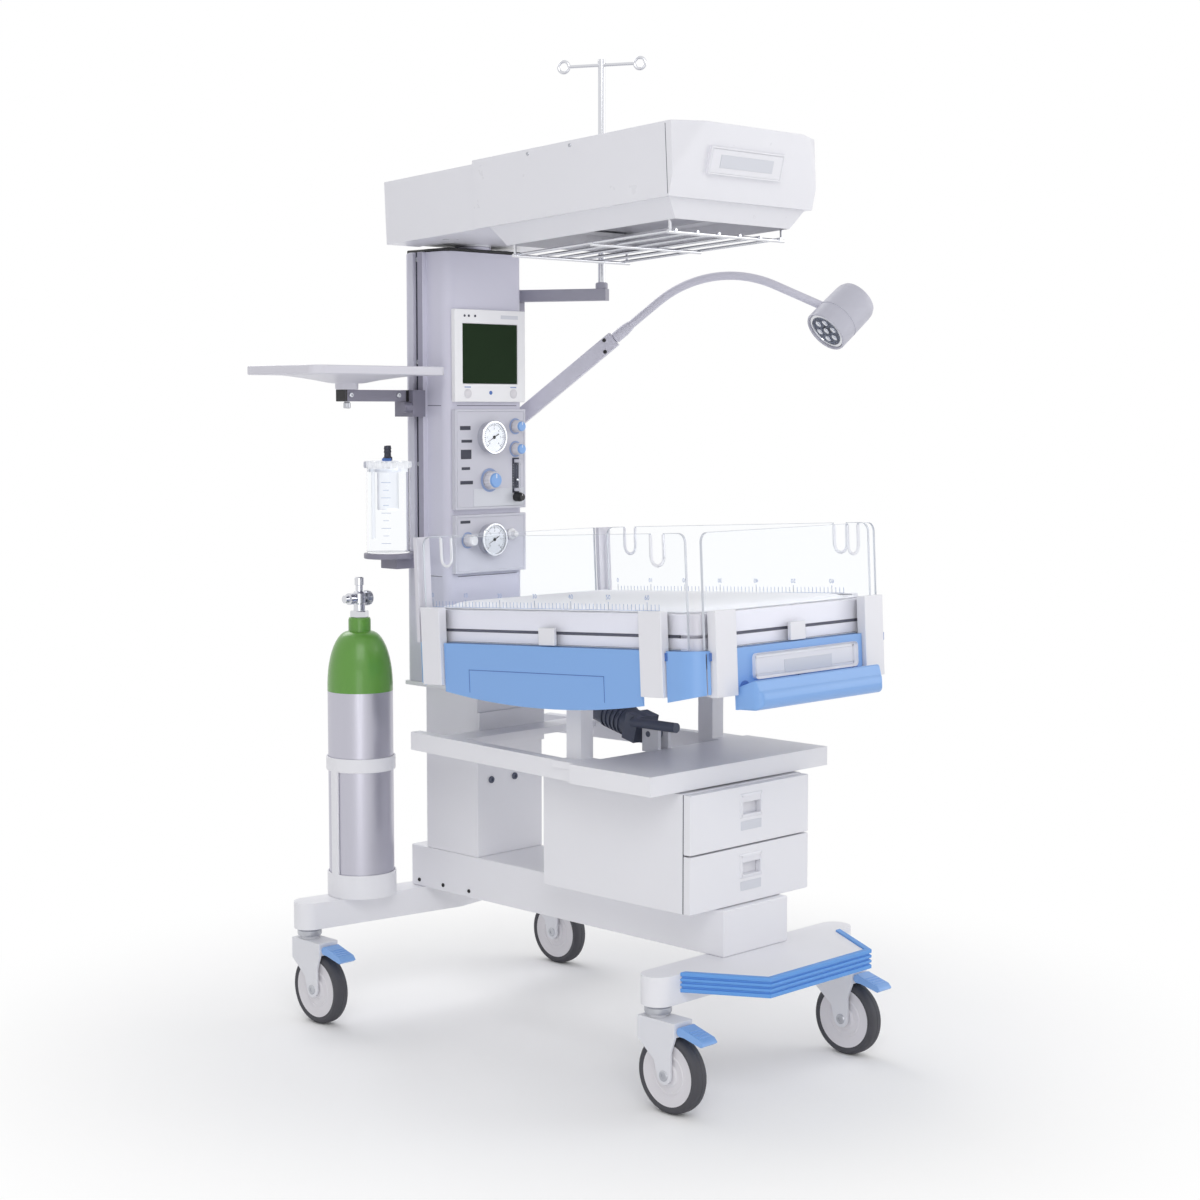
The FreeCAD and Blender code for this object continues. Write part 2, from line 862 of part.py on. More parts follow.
def bed_support():
    """Yoke on the column, splayed rails, front tray, pivot posts and actuator bracket."""
    top = S.support_top
    low = top - S.support_depth
    tray = block_shape(
        (-S.support_width / 2, S.support_width / 2), (S.support_front, S.support_plate_rear), (low, top)
    )
    under = block_shape(
        (S.support_rail - S.support_width / 2, S.support_width / 2 - S.support_rail),
        (S.support_front + S.support_sheet, S.support_plate_rear),
        (low, top - S.support_sheet),
    )
    pieces = []
    for side in (-1, 1):
        rear = side * S.rail_rear_width / 2
        front = side * S.support_width / 2
        inward = -side * S.support_rail
        corners = [
            Vector(front, S.support_front + S.support_nose, low),
            Vector(rear, S.support_rail_rear, low),
            Vector(rear + inward, S.support_rail_rear, low),
            Vector(front + inward, S.support_front + S.support_nose, low),
        ]
        pieces.append(prism(corners, Vector(0, 0, S.support_depth)))
        post_in = S.post_x - S.post_width / 2
        post_low, post_high = sorted((side * post_in, side * (post_in + S.post_width)))
        post = block_shape(
            (post_low, post_high),
            (S.pivot_y - S.post_depth / 2, S.pivot_y + S.post_depth / 2),
            (top, S.pivot_z + S.post_rise),
        )
        bore = Part.makeCylinder(
            S.pivot_radius + S.running_gap, S.post_width, Vector(post_low, S.pivot_y, S.pivot_z), X_AXIS
        )
        pieces.append(post.cut(bore))
        shelf_in, shelf_out = sorted((side * post_in, side * (S.support_width - S.support_rail) / 2))
        shelf_y = (S.pivot_y - S.post_depth, S.pivot_y + S.post_depth / 2)
        pieces.append(block_shape((shelf_in, shelf_out), shelf_y, (top - S.yoke_thickness, top)))
    yoke = block_shape(
        (S.support_rail / 2 - S.rail_rear_width / 2, S.rail_rear_width / 2 - S.support_rail / 2),
        (S.lower_column_front - S.yoke_depth, S.lower_column_front),
        (top - S.yoke_thickness, top),
    )
    flange = block_shape(
        (-S.beam_width / 2, S.beam_width / 2),
        (S.lower_column_front - S.yoke_thickness / 2, S.lower_column_front),
        (low, top + S.support_depth),
    )
    frame = tray.cut(under).multiFuse(pieces + [yoke, flange])
    cheek_in = S.eye_width / 2 + S.face_gap
    reach = (S.support_plate_rear - S.cheek_root, S.actuator_y + S.cheek_reach)
    for side in (-1, 1):
        near, far = sorted((side * cheek_in, side * (cheek_in + S.lug_thickness)))
        height = (top - S.cheek_floor, S.actuator_z + S.cheek_rise)
        frame = frame.fuse(block_shape((near, far), reach, height))
    cheek_out = cheek_in + S.lug_thickness
    floor = block_shape((-cheek_out, cheek_out), reach, (top - S.cheek_floor, top))
    bore = Part.makeCylinder(
        S.actuator_pin + S.running_gap, S.gear_width, ACTUATOR - Vector(S.gear_width / 2, 0, 0), X_AXIS
    )
    return frame.fuse(floor).cut(bore).removeSplitter()


sub_part("bed_support_frame", solid(bed_support()))

RISE = math.radians(S.actuator_rise)
ALONG = Vector(0, math.cos(RISE), math.sin(RISE))
ROD_EYE = ACTUATOR + ALONG * S.rod_length


def actuator_motor():
    """Gear case with a tongue on the frame's pin, motor housing and side tube."""
    tongue = Part.makeCylinder(S.tongue_radius, S.eye_width, ACTUATOR - Vector(S.eye_width / 2, 0, 0), X_AXIS)
    pin_half = S.eye_width / 2 + S.face_gap + S.lug_thickness
    pin = Part.makeCylinder(S.actuator_pin, 2 * pin_half, ACTUATOR - Vector(pin_half, 0, 0), X_AXIS)
    neck_start = ACTUATOR + ALONG * S.actuator_pin
    neck = rod_shape(S.eye_width / 2, neck_start, neck_start + ALONG * S.motor_start)
    start = ACTUATOR + ALONG * S.motor_start
    motor = rod_shape(S.motor_radius, start, start + ALONG * S.motor_length)
    gear = block_shape(
        (-S.gear_width / 2, S.gear_width / 2), (0, S.gear_length), (-S.gear_height / 2, S.gear_height / 2)
    )
    gear.Placement = Placement(start, Rotation(X_AXIS, S.actuator_rise))
    fins = []
    for index in range(5):
        at = start + ALONG * (S.fin_start + S.fin_pitch * index)
        fins.append(rod_shape(S.motor_radius + S.fin_height, at, at + ALONG * S.fin_width))
    beside = -pin_half - S.tube_radius - S.face_gap
    tube_start = start + Vector(beside, S.tube_setback, S.gear_height / 2 - S.tube_radius)
    tube = rod_shape(S.tube_radius, tube_start, tube_start + Vector(0, -S.tube_length, 0))
    body = motor.multiFuse([gear, tongue, pin, neck, tube] + fins).removeSplitter()
    mouth = start + ALONG * (S.motor_length - S.rod_overlap)
    bore = rod_shape(S.rod_radius + S.running_gap, mouth, mouth + ALONG * (2 * S.rod_overlap))
    return body.cut(bore)


def actuator_rod():
    start = ACTUATOR + ALONG * (S.motor_start + S.motor_length - S.rod_overlap + S.rod_stop)
    shaft = rod_shape(S.rod_radius, start, ROD_EYE - ALONG * (S.eye_radius * 0.8))
    eye = Part.makeCylinder(S.eye_radius, S.eye_width, ROD_EYE - Vector(S.eye_width / 2, 0, 0), X_AXIS)
    hole = Part.makeCylinder(
        S.eye_pin + S.eye_clearance, S.eye_width, ROD_EYE - Vector(S.eye_width / 2, 0, 0), X_AXIS
    )
    return shaft.fuse(eye).cut(hole).removeSplitter()


sub_part("actuator_motor", solid(actuator_motor()))
sub_part("actuator_rod", solid(actuator_rod()))

# Bed, drawn level about its pivot and then tilted

BED = Placement(Vector(0, S.pivot_y, S.pivot_z), Rotation(X_AXIS, -S.bed_tilt))
BASE_X = S.base_width / 2
BASE_Y = S.base_length / 2
HALF_W = BASE_X + S.side_overhang
HALF_L = BASE_Y + S.side_overhang
HINGE_X = HALF_W - S.hinge_inset
HINGE_Y = HALF_L - S.hinge_inset
LUG_DEPTH = S.side_overhang - S.hinge_inset + S.lug_root
LEDGE_HALF = BASE_X - S.front_arm_inset - S.arm_width / 2 - S.arm_slot_gap - S.face_gap


def arm_frames():
    """Each hinged arm: its side and its centre along that side's edge."""
    rear = BASE_Y - S.rear_arm_inset
    fore = S.fore_arm_inset - BASE_Y
    across = BASE_X - S.front_arm_inset
    return [
        ("left", rear),
        ("left", fore),
        ("right", rear),
        ("right", fore),
        ("front", -across),
        ("front", across),
    ]


def outward(side, depth, along, z):
    """Bed point at a depth past a side's hinge line."""
    if side == "front":
        return Vector(along, -HINGE_Y - depth, z)
    sign = -1 if side == "left" else 1
    return Vector(sign * (HINGE_X + depth), along, z)


def edge_block(side, depth, along, z):
    first = outward(side, depth[0], along[0], z[0])
    second = outward(side, depth[1], along[1], z[1])
    spans = [sorted((getattr(first, axis), getattr(second, axis))) for axis in "xyz"]
    return block_shape(*spans)


def edge_rod(side, radius, along):
    return rod_shape(
        radius, outward(side, 0, along[0], S.hinge_height), outward(side, 0, along[1], S.hinge_height)
    )


def bed_base():
    """Frame under the mattress with pivot lugs, hinge lugs, actuator lugs and rear corner posts."""
    shell = rounded_block(BASE_X, BASE_Y, S.base_round, S.base_bottom, S.base_top)
    wall = S.base_wall
    ceiling = S.base_top - S.base_plate
    inner_x = BASE_X - wall
    inner_y = BASE_Y - wall
    under = block_shape((-inner_x, inner_x), (-inner_y, inner_y), (S.base_bottom, ceiling))
    pieces = []
    for side in (-1, 1):
        face = S.post_x - S.post_width / 2 - S.seat_gap
        near, far = sorted((side * face, side * (face - S.lug_thickness)))
        half = S.pivot_lug_width / 2
        pieces.append(block_shape((near, far), (-half, half), (-S.pivot_lug_drop, ceiling)))
        start = Vector(side * (face - S.lug_thickness), 0, 0)
        end = Vector(side * (S.post_x + S.post_width / 2 - S.pivot_end_gap), 0, 0)
        pieces.append(rod_shape(S.pivot_radius, start, end))
    eye = BED.inverse().multVec(ROD_EYE)
    for side in (-1, 1):
        inner = S.eye_width / 2 + S.face_gap
        near, far = sorted((side * inner, side * (inner + S.lug_thickness)))
        half = S.rod_lug_width / 2
        along = (eye.y - half, eye.y + half)
        pieces.append(block_shape((near, far), along, (eye.z - S.rod_lug_drop, ceiling)))
    half_pin = S.eye_width / 2 + S.face_gap + S.lug_thickness
    pieces.append(Part.makeCylinder(S.eye_pin, 2 * half_pin, Vector(-half_pin, eye.y, eye.z), X_AXIS))
    for side in (-1, 1):
        near, far = sorted((side * (BASE_X - S.corner_post_root), side * (HALF_W - S.skirt_inset)))
        depth = (BASE_Y - S.corner_post_depth, BASE_Y)
        pieces.append(block_shape((near, far), depth, (S.skirt_top + S.seat_gap, S.panel_top)))
    base = shell.cut(under).multiFuse(pieces)
    bores = []
    for side, centre in arm_frames():
        for turn in (-1, 1):
            inner = centre + turn * (S.arm_width / 2 + S.seat_gap)
            outer = inner + turn * S.hinge_pin
            reach = (-LUG_DEPTH, S.hinge_boss)
            height = (S.hinge_height - S.lug_drop, S.base_bottom + S.lug_rise)
            base = base.fuse(edge_block(side, reach, (inner, outer), height))
            bores.append(edge_rod(side, S.hinge_radius + S.running_gap, (inner - turn, outer + turn)))
    return base.cut(bores).removeSplitter()


def skirt_edge(half, end, middle):
    """Under edge of an apron: an arc lowest at the middle."""
    return Part.Arc(Vector(0, -half, end), Vector(0, 0, middle), Vector(0, half, end))


def bed_skirt():
    """Blue surround cut away at the arms, arched under its long sides, with a ledge at the front."""
    outer_x = HALF_W - S.skirt_inset
    outer_y = HALF_L - S.skirt_inset
    wall = S.skirt_wall
    low = S.skirt_middle - wall
    ring = rounded_block(outer_x, outer_y, S.skirt_round, low, S.skirt_top)
    hollow = rounded_block(outer_x - wall, outer_y - wall, S.skirt_round - wall, low, S.skirt_top - wall)
    mouth = rounded_block(BASE_X + S.seat_gap, BASE_Y + S.seat_gap, S.base_round, low, S.skirt_top)
    ring = ring.cut(hollow).cut(mouth)
    arc = skirt_edge(outer_y + 1, S.skirt_end, S.skirt_middle)
    start = arc.toShape().Vertexes[0].Point
    end = arc.toShape().Vertexes[-1].Point
    sides = [
        arc.toShape(),
        Part.LineSegment(end, Vector(0, end.y, S.skirt_top)).toShape(),
        Part.LineSegment(Vector(0, end.y, S.skirt_top), Vector(0, start.y, S.skirt_top)).toShape(),
        Part.LineSegment(Vector(0, start.y, S.skirt_top), start).toShape(),
    ]
    face = Part.Face(Part.Wire(sides))
    envelope = face.extrude(Vector(2 * outer_x + 2, 0, 0))
    envelope.translate(Vector(-outer_x - 1, 0, 0))
    across = (-LEDGE_HALF, LEDGE_HALF)
    nose = -outer_y - S.ledge_reach
    front = block_shape(across, (-outer_y, -outer_y + wall), (S.ledge_bottom, S.skirt_top))
    ledge = block_shape(across, (nose, -outer_y), (S.ledge_bottom, S.ledge_top))
    rim = S.ledge_wall
    hollow = block_shape(
        (rim - LEDGE_HALF, LEDGE_HALF - rim), (nose + rim, -outer_y), (S.ledge_bottom + rim, S.ledge_top)
    )
    lip = block_shape(across, (nose, nose + rim), (S.ledge_bottom, S.ledge_top + S.ledge_lip))
    skirt = ring.common(envelope).multiFuse([front, ledge.cut(hollow), lip])
    for side, centre in arm_frames():
        half = S.arm_width / 2 + S.arm_slot_gap
        reach = (-LUG_DEPTH - S.slot_margin, S.hinge_inset + S.slot_margin)
        skirt = skirt.cut(edge_block(side, reach, (centre - half, centre + half), (low, S.skirt_top)))
        wide = half + S.hinge_pin + S.seat_gap
        back = (-LUG_DEPTH - S.slot_margin, S.hinge_boss + S.seat_gap)
        height = (low, S.skirt_top - wall - S.seat_gap)
        skirt = skirt.cut(edge_block(side, back, (centre - wide, centre + wide), height))
    return skirt.removeSplitter()


def mattress_tray():
    foot = rounded_block(
        BASE_X - S.tray_recess, BASE_Y - S.tray_recess, S.base_round, S.base_top, S.base_top + S.tray_shadow
    )
    rim = rounded_block(BASE_X, BASE_Y, S.base_round, S.base_top + S.tray_shadow, S.tray_top)
    wall = S.tray_wall
    floor = S.base_top + S.tray_shadow + S.tray_floor
    hollow = rounded_block(BASE_X - wall, BASE_Y - wall, S.base_round, floor, S.tray_top)
    slots = []
    for side in (-1, 1):
        span = sorted((side * (BASE_X - S.corner_post_root - S.seat_gap), side * BASE_X))
        depth = (BASE_Y - S.corner_post_depth - S.seat_gap, BASE_Y)
        slots.append(block_shape(span, depth, (S.base_top, S.tray_top)))
    return foot.fuse(rim).cut(hollow).cut(slots).removeSplitter()


def mattress():
    """Cushion with drawn-in sides and a crowned top, built from level outlines."""
    half_x = BASE_X - S.tray_wall - S.mattress_gap
    half_y = BASE_Y - S.tray_wall - S.mattress_gap
    floor = S.base_top + S.tray_shadow + S.tray_floor
    top = S.tray_top + S.mattress_rise
    draw = S.mattress_draw
    crown = S.mattress_crown
    levels = [
        (floor, 2 * draw),
        (floor + 0.18 * (top - floor), 0.4 * draw),
        (floor + 0.5 * (top - floor), 0),
        (floor + 0.82 * (top - floor), 0.5 * draw),
        (top, 2.5 * draw),
        (top + 0.6 * crown, 9 * draw),
        (top + crown, 20 * draw),
    ]
    wires = []
    for height, inset in levels:
        corner = S.mattress_round - 0.2 * inset
        wires.append(rounded_wire(half_x - inset, half_y - inset, corner, height))
    return Part.makeLoft(wires, True, True)


sub_part("bed_base", solid(bed_base()), BED)
sub_part("bed_skirt", solid(bed_skirt()), BED)
sub_part("mattress_tray", solid(mattress_tray()), BED)
sub_part("mattress", solid(mattress()), BED)

# Sides of the bed

PANEL_DEPTH = S.hinge_inset - S.arm_thickness


def clear_panel(side, half_length, notches):
    """Clear sheet with rounded upper corners and round-bottomed tube notches."""
    depth = (PANEL_DEPTH - S.panel_thickness, PANEL_DEPTH)
    sheet_shape = edge_block(side, depth, (-half_length, half_length), (S.panel_bottom, S.panel_top))
    for along in notches:
        half = S.notch_width / 2
        floor = S.panel_top - S.notch_depth + half
        slot = edge_block(side, depth, (along - half, along + half), (floor, S.panel_top))
        sheet_shape = sheet_shape.cut(slot)
        start = outward(side, depth[0], along, floor)
        sheet_shape = sheet_shape.cut(rod_shape(half, start, outward(side, depth[1], along, floor)))
    radius = S.panel_round
    for turn in (-1, 1):
        edge = turn * half_length
        square = edge_block(side, depth, (edge - turn * radius, edge), (S.panel_top - radius, S.panel_top))
        centre = edge - turn * radius
        start = outward(side, depth[0], centre, S.panel_top - radius)
        round_part = rod_shape(radius, start, outward(side, depth[1], centre, S.panel_top - radius))
        sheet_shape = sheet_shape.cut(square.cut(round_part))
    return sheet_shape


def panel_fittings(side):
    """Hinge arms with their pins and the middle clip of one side."""
    pieces = []
    for name, centre in arm_frames():
        if name != side:
            continue
        half = S.arm_width / 2
        depth = (PANEL_DEPTH, S.hinge_inset)
        arm = edge_block(side, depth, (centre - half, centre + half), (S.arm_bottom, S.arm_top))
        root = edge_block(
            side,
            (0, S.hinge_inset),
            (centre - half, centre + half),
            (S.arm_bottom + S.root_lift, S.hinge_height + S.hinge_boss),
        )
        boss = edge_rod(side, S.hinge_boss, (centre - half, centre + half))
        reach = half + S.hinge_pin
        pin = edge_rod(side, S.hinge_radius, (centre - reach, centre + reach))
        pieces.append(arm.multiFuse([root, boss, pin]).removeSplitter())
    half = S.clip_width / 2
    depth = (PANEL_DEPTH, PANEL_DEPTH + S.clip_thickness)
    pieces.append(edge_block(side, depth, (-half, half), (S.panel_bottom, S.panel_bottom + S.clip_height)))
    return Part.makeCompound(pieces)


SIDE_HALF = BASE_Y - S.side_panel_inset
FRONT_HALF = BASE_X - S.front_panel_inset
SIDE_NOTCHES = (S.side_notch_inset - SIDE_HALF, SIDE_HALF - S.side_notch_inset)
for side in ("left", "right"):
    sub_part(f"panel_{side}", solid(clear_panel(side, SIDE_HALF, SIDE_NOTCHES)), BED)
    sub_part(f"fittings_{side}", solid(panel_fittings(side)), BED)
front_sheet = clear_panel("front", FRONT_HALF, (FRONT_HALF - S.front_notch_inset,))
sub_part("panel_front", solid(front_sheet), BED)
sub_part("fittings_front", solid(panel_fittings("front")), BED)
rear_half = BASE_X - S.base_round
rear_sheet = block_shape(
    (-rear_half, rear_half), (BASE_Y, BASE_Y + S.panel_thickness), (S.panel_bottom, S.panel_top)
)
sub_part("panel_rear", solid(rear_sheet), BED)

# Hood, drawn level about its pivot and then raised at the front

HOOD = Placement(Vector(0, S.hood_pivot_y, HOOD_BASE), Rotation(X_AXIS, -S.hood_tilt))


def hood_block(inset):
    """Cover outline, shrunk evenly for its inside."""
    half = S.hood_width / 2 - inset
    rear = S.hood_rear - inset
    front = -S.hood_front + inset
    top = S.hood_height - inset
    profile = [
        Vector(-half, rear, inset),
        Vector(-half, rear, top),
        Vector(-half, front, top),
        Vector(-half, front + S.hood_lean, inset),
    ]
    side_view = prism(profile, Vector(2 * half, 0, 0))
    bend = front + S.hood_corner_depth
    nose = half - S.hood_corner
    plan = [(-half, rear), (-half, bend), (-nose, front), (nose, front), (half, bend), (half, rear)]
    plan_view = prism([Vector(x, y, inset) for x, y in plan], Vector(0, 0, top))
    return side_view.common(plan_view)


def shade(inset, drop):
    """Funnel below the cover round the heater opening."""
    wires = []
    for half, height, margin in (
        (S.shade_top_width / 2 - inset, S.hood_wall, 0),
        (S.shade_bottom_width / 2 - inset, -S.shade_depth - drop, S.shade_taper),
    ):
        rear = -S.shade_rear - inset - margin
        front = -S.shade_front + inset + margin
        corners = [Vector(-half, rear, height), Vector(-half, front, height), Vector(half, front, height)]
        corners.append(Vector(half, rear, height))
        wires.append(Part.makePolygon(corners + corners[:1]))
    return Part.makeLoft(wires, True, True)


def hood_shell():
    cover = hood_block(0)
    step = S.hood_step
    rear_y = (-S.hood_shoulder, S.hood_rear + 1)
    half = S.hood_width / 2
    trims = [block_shape((-half, half), rear_y, (S.hood_height - step, S.hood_height))]
    trims.append(block_shape((-half, step - half), rear_y, (0, S.hood_height)))
    trims.append(block_shape((half - step, half), rear_y, (0, S.hood_height)))
    cover = cover.cut(trims)
    inside = hood_block(S.hood_wall + step)
    funnel = shade(0, 0)
    mouth_half = S.shade_top_width / 2 - S.hood_wall
    mouth = block_shape(
        (-mouth_half, mouth_half),
        (S.hood_wall - S.shade_front, -S.shade_rear - S.hood_wall),
        (0, S.hood_wall + step),
    )
    pad_height = S.hood_height - S.hub_headroom
    pad = Part.makeCylinder(S.turntable_radius, pad_height, Vector(0, S.hood_pivot_y, HOOD_BASE))
    shell = cover.fuse(funnel).cut([inside, mouth, shade(S.hood_wall, S.hood_wall)])
    placed = shell.copy()
    placed.Placement = HOOD
    seat_cut = Part.makeCylinder(3 * S.turntable_radius, HOOD_BASE, Vector(0, S.hood_pivot_y, 0))
    hub = placed.fuse(pad).cut(seat_cut)
    bore = Part.makeCylinder(
        S.turntable_radius / 2 + S.running_gap,
        S.turntable_height + S.seat_gap,
        Vector(0, S.hood_pivot_y, HOOD_BASE),
    )
    return hub.cut(bore).removeSplitter()


def reflector():
    """Half-round trough with side flanges lying on the cover's floor."""
    floor = S.hood_wall + S.hood_step + S.seat_gap
    rear = -S.shade_rear - S.reflector_end_gap
    front = S.reflector_end_gap - S.shade_front
    outer = rod_shape(S.reflector_radius, Vector(0, rear, floor), Vector(0, front, floor))
    radius = S.reflector_radius - S.reflector_sheet
    inner = rod_shape(radius, Vector(0, rear, floor), Vector(0, front, floor))
    span = (-S.reflector_radius, S.reflector_radius)
    upper = block_shape(span, (front, rear), (floor, floor + S.reflector_radius))
    trough = outer.cut(inner).common(upper)
    reach = S.hood_width / 2 - S.hood_wall - S.hood_step - S.seat_gap
    flanges = []
    for side in (-1, 1):
        near, far = sorted((side * (radius + S.reflector_sheet / 2), side * reach))
        flanges.append(block_shape((near, far), (front, rear), (floor, floor + S.reflector_sheet)))
    return trough.multiFuse(flanges).removeSplitter()


def heater_tube():
    floor = S.hood_wall + S.hood_step + S.seat_gap
    height = floor + S.reflector_radius - S.heater_drop
    end_gap = S.reflector_end_gap + S.heater_margin
    rear = -S.shade_rear - end_gap
    front = end_gap - S.shade_front
    tube = rod_shape(S.heater_radius, Vector(0, rear, height), Vector(0, front, height))
    crest = floor + S.reflector_radius - S.reflector_sheet - S.seat_gap
    hangers = []
    for y in (rear - S.hanger_inset, front + S.hanger_inset):
        hangers.append(rod_shape(S.hanger_radius, Vector(0, y, height), Vector(0, y, crest)))
    return tube.multiFuse(hangers).removeSplitter()


def guard_grille():
    """Wire guard below the opening: long bars on three cross rails, hung on four legs."""
    level = -S.shade_depth - S.guard_drop
    half = S.shade_bottom_width / 2 - S.guard_side_gap
    leg_x = S.shade_bottom_width / 2 - S.guard_leg_inset
    rear = -S.shade_rear - S.guard_end_gap
    front = S.guard_end_gap - S.shade_front
    count = int(S.guard_bars)
    pieces = []
    for y, reach in ((rear, leg_x), ((rear + front) / 2, half), (front, leg_x)):
        end = reach + 2 * S.guard_wire
        pieces.append(rod_shape(S.guard_rail, Vector(-end, y, level), Vector(end, y, level)))
    beyond = 2 * S.guard_rail
    for index in range(count):
        x = -half + 2 * half * index / (count - 1)
        lift = level + S.guard_wire
        start = Vector(x, rear + beyond, lift)
        pieces.append(rod_shape(S.guard_wire, start, Vector(x, front - beyond, lift)))
    top = -S.shade_depth - S.seat_gap
    for x in (-leg_x, leg_x):
        for y in (rear, front):
            pieces.append(rod_shape(S.guard_wire, Vector(x, y, level), Vector(x, y, top)))
    return pieces[0].multiFuse(pieces[1:]).removeSplitter()


sub_part("hood_shell", solid(hood_shell()))
sub_part("reflector", solid(reflector()), HOOD)
sub_part("heater_tube", solid(heater_tube()), HOOD)
sub_part("guard_grille", solid(guard_grille()), HOOD)

# Modules on the column

PANEL_FACE = "column_front - panel_depth"
MODULE_X = ("-module_width/2", "module_width/2")

controller = box(MODULE_X, (PANEL_FACE, "column_front"), ("controller_bottom", "controller_top"))
screen = box(
    ("-screen_width/2", "screen_width/2"),
    (PANEL_FACE, f"{PANEL_FACE} + screen_inset"),
    ("screen_bottom", "screen_top"),
)
sub_part("controller_panel", cut(controller, screen))

KNOBS = {
    "air": ("knob_x", "air_knob_z", "knob_radius"),
    "oxygen": ("knob_x", "oxygen_knob_z", "knob_radius"),
    "mixer": ("mixer_x", "mixer_z", "mixer_radius"),
    "flow": ("knob_x", "flow_knob_z", "flow_knob_radius"),
    "suction": ("suction_knob_x", "suction_gauge_z", "knob_radius"),
}
gas_plate = box(MODULE_X, (PANEL_FACE, "column_front"), ("gas_bottom", "gas_top"))
suction_plate = box(MODULE_X, (PANEL_FACE, "column_front"), ("suction_bottom", "suction_top"))
flow_tube = round_bar(
    "flow_tube_radius",
    ("knob_x", f"{PANEL_FACE} - flow_tube_radius + 1", "flow_tube_bottom"),
    "flow_tube_top - flow_tube_bottom",
)
bores = [
    round_bar("spindle_radius + running_gap", (x, PANEL_FACE, z), "panel_depth - face_gap", TURN_Y)
    for x, z, _ in KNOBS.values()
]
sub_part("gas_suction_panels", cut(fuse(gas_plate, suction_plate, flow_tube), *bores))
for name, (x, z, radius) in KNOBS.items():
    grip = round_bar(radius, (x, f"{PANEL_FACE} - knob_depth - seat_gap", z), "knob_depth", TURN_Y)
    spindle = round_bar(
        "spindle_radius", (x, f"{PANEL_FACE} - face_gap", z), "panel_depth - face_gap", TURN_Y
    )
    sub_part(f"{name}_knob", fuse(grip, spindle))
gauges = [
    round_bar("gauge_radius", ("gauge_x", f"{PANEL_FACE} - gauge_depth", z), "gauge_depth", TURN_Y)
    for z in ("gas_gauge_z", "suction_gauge_z")
]
sub_part("pressure_gauges", compound(*gauges))

# Drip stand

STAND_WAY = Vector(math.cos(math.radians(S.stand_angle)), math.sin(math.radians(S.stand_angle)), 0)
STAND_ROOT = Vector(S.stand_x, S.rail_y, S.stand_z)


def rail_clamp(side, height, x_out):
    """Block on a column rail reaching out to a given distance."""
    near, far = sorted((side * RAIL_FACE, side * x_out))
    return block_shape(
        (near, far),
        (S.rail_y - S.clamp_width / 2, S.rail_y + S.clamp_width / 2),
        (height - S.clamp_height / 2, height + S.clamp_height / 2),
    )


def stand_bracket():
    """Clamp on the right rail with an upright pin for the swinging arm."""
    low = S.stand_z - S.arm_section / 2
    clamp = rail_clamp(1, low - S.clamp_height / 2, S.stand_x + S.clamp_reach)
    pin = Part.makeCylinder(S.stand_pin, S.arm_section - S.pin_end_gap, Vector(S.stand_x, S.rail_y, low))
    return clamp.fuse(pin).removeSplitter()


def stand_arm():
    half = S.arm_section / 2
    bar = block_shape((-half, S.stand_reach + half), (-half, half), (-half + S.seat_gap, half))
    bar.Placement = Placement(STAND_ROOT, Rotation(Z_AXIS, S.stand_angle))
    depth = S.arm_section - S.pin_end_gap + S.seat_gap
    bore = Part.makeCylinder(S.stand_pin + S.running_gap, depth, STAND_ROOT - Vector(0, 0, half))
    foot = STAND_ROOT + STAND_WAY * S.stand_reach
    seat_level = foot - Vector(0, 0, half - S.pole_seat)
    socket = Part.makeCylinder(S.pole_radius, S.arm_section - S.pole_seat, seat_level)
    return bar.cut([bore, socket])


def stand_pole():
    """Upright pole with a cross bar that ends in two loops."""
    foot = STAND_ROOT + STAND_WAY * S.stand_reach - Vector(0, 0, S.arm_section / 2 - S.pole_seat)
    top = Vector(foot.x, foot.y, S.pole_top)
    pieces = [rod_shape(S.pole_radius, foot, top)]
    across = STAND_WAY * (S.hook_span / 2)
    bar_level = top - Vector(0, 0, S.hook_drop)
    pieces.append(rod_shape(S.hook_radius, bar_level - across, bar_level + across))
    for side in (-1, 1):
        centre = bar_level + across * side + STAND_WAY * (side * S.hook_ring)
        normal = STAND_WAY.cross(Z_AXIS)
        pieces.append(Part.makeTorus(S.hook_ring, S.hook_radius, centre, normal))
    return pieces[0].multiFuse(pieces[1:]).removeSplitter()


sub_part("iv_arm", solid(stand_arm()))
sub_part("iv_pole", solid(stand_pole()))

# Lamp

LAMP_WAY = Vector(math.cos(math.radians(S.lamp_angle)), math.sin(math.radians(S.lamp_angle)), 0)
LAMP_ROOT = Vector(S.stand_x, S.rail_y, S.lamp_z)
ELBOW = LAMP_ROOT + LAMP_WAY * S.lamp_elbow + Vector(0, 0, S.lamp_elbow_rise)
ARM_WAY = Vector(ELBOW - LAMP_ROOT).normalize()
NECK_START = ELBOW + ARM_WAY * S.neck_plug
LAMP_SEAT = LAMP_ROOT - Vector(0, 0, S.lamp_hub_height / 2)


def lamp_bracket():
    clamp = rail_clamp(1, LAMP_SEAT.z - S.clamp_height / 2, S.stand_x + S.clamp_reach)
    pin = Part.makeCylinder(S.stand_pin, S.lamp_hub_height - S.stand_pin, LAMP_SEAT)
    return clamp.fuse(pin).removeSplitter()


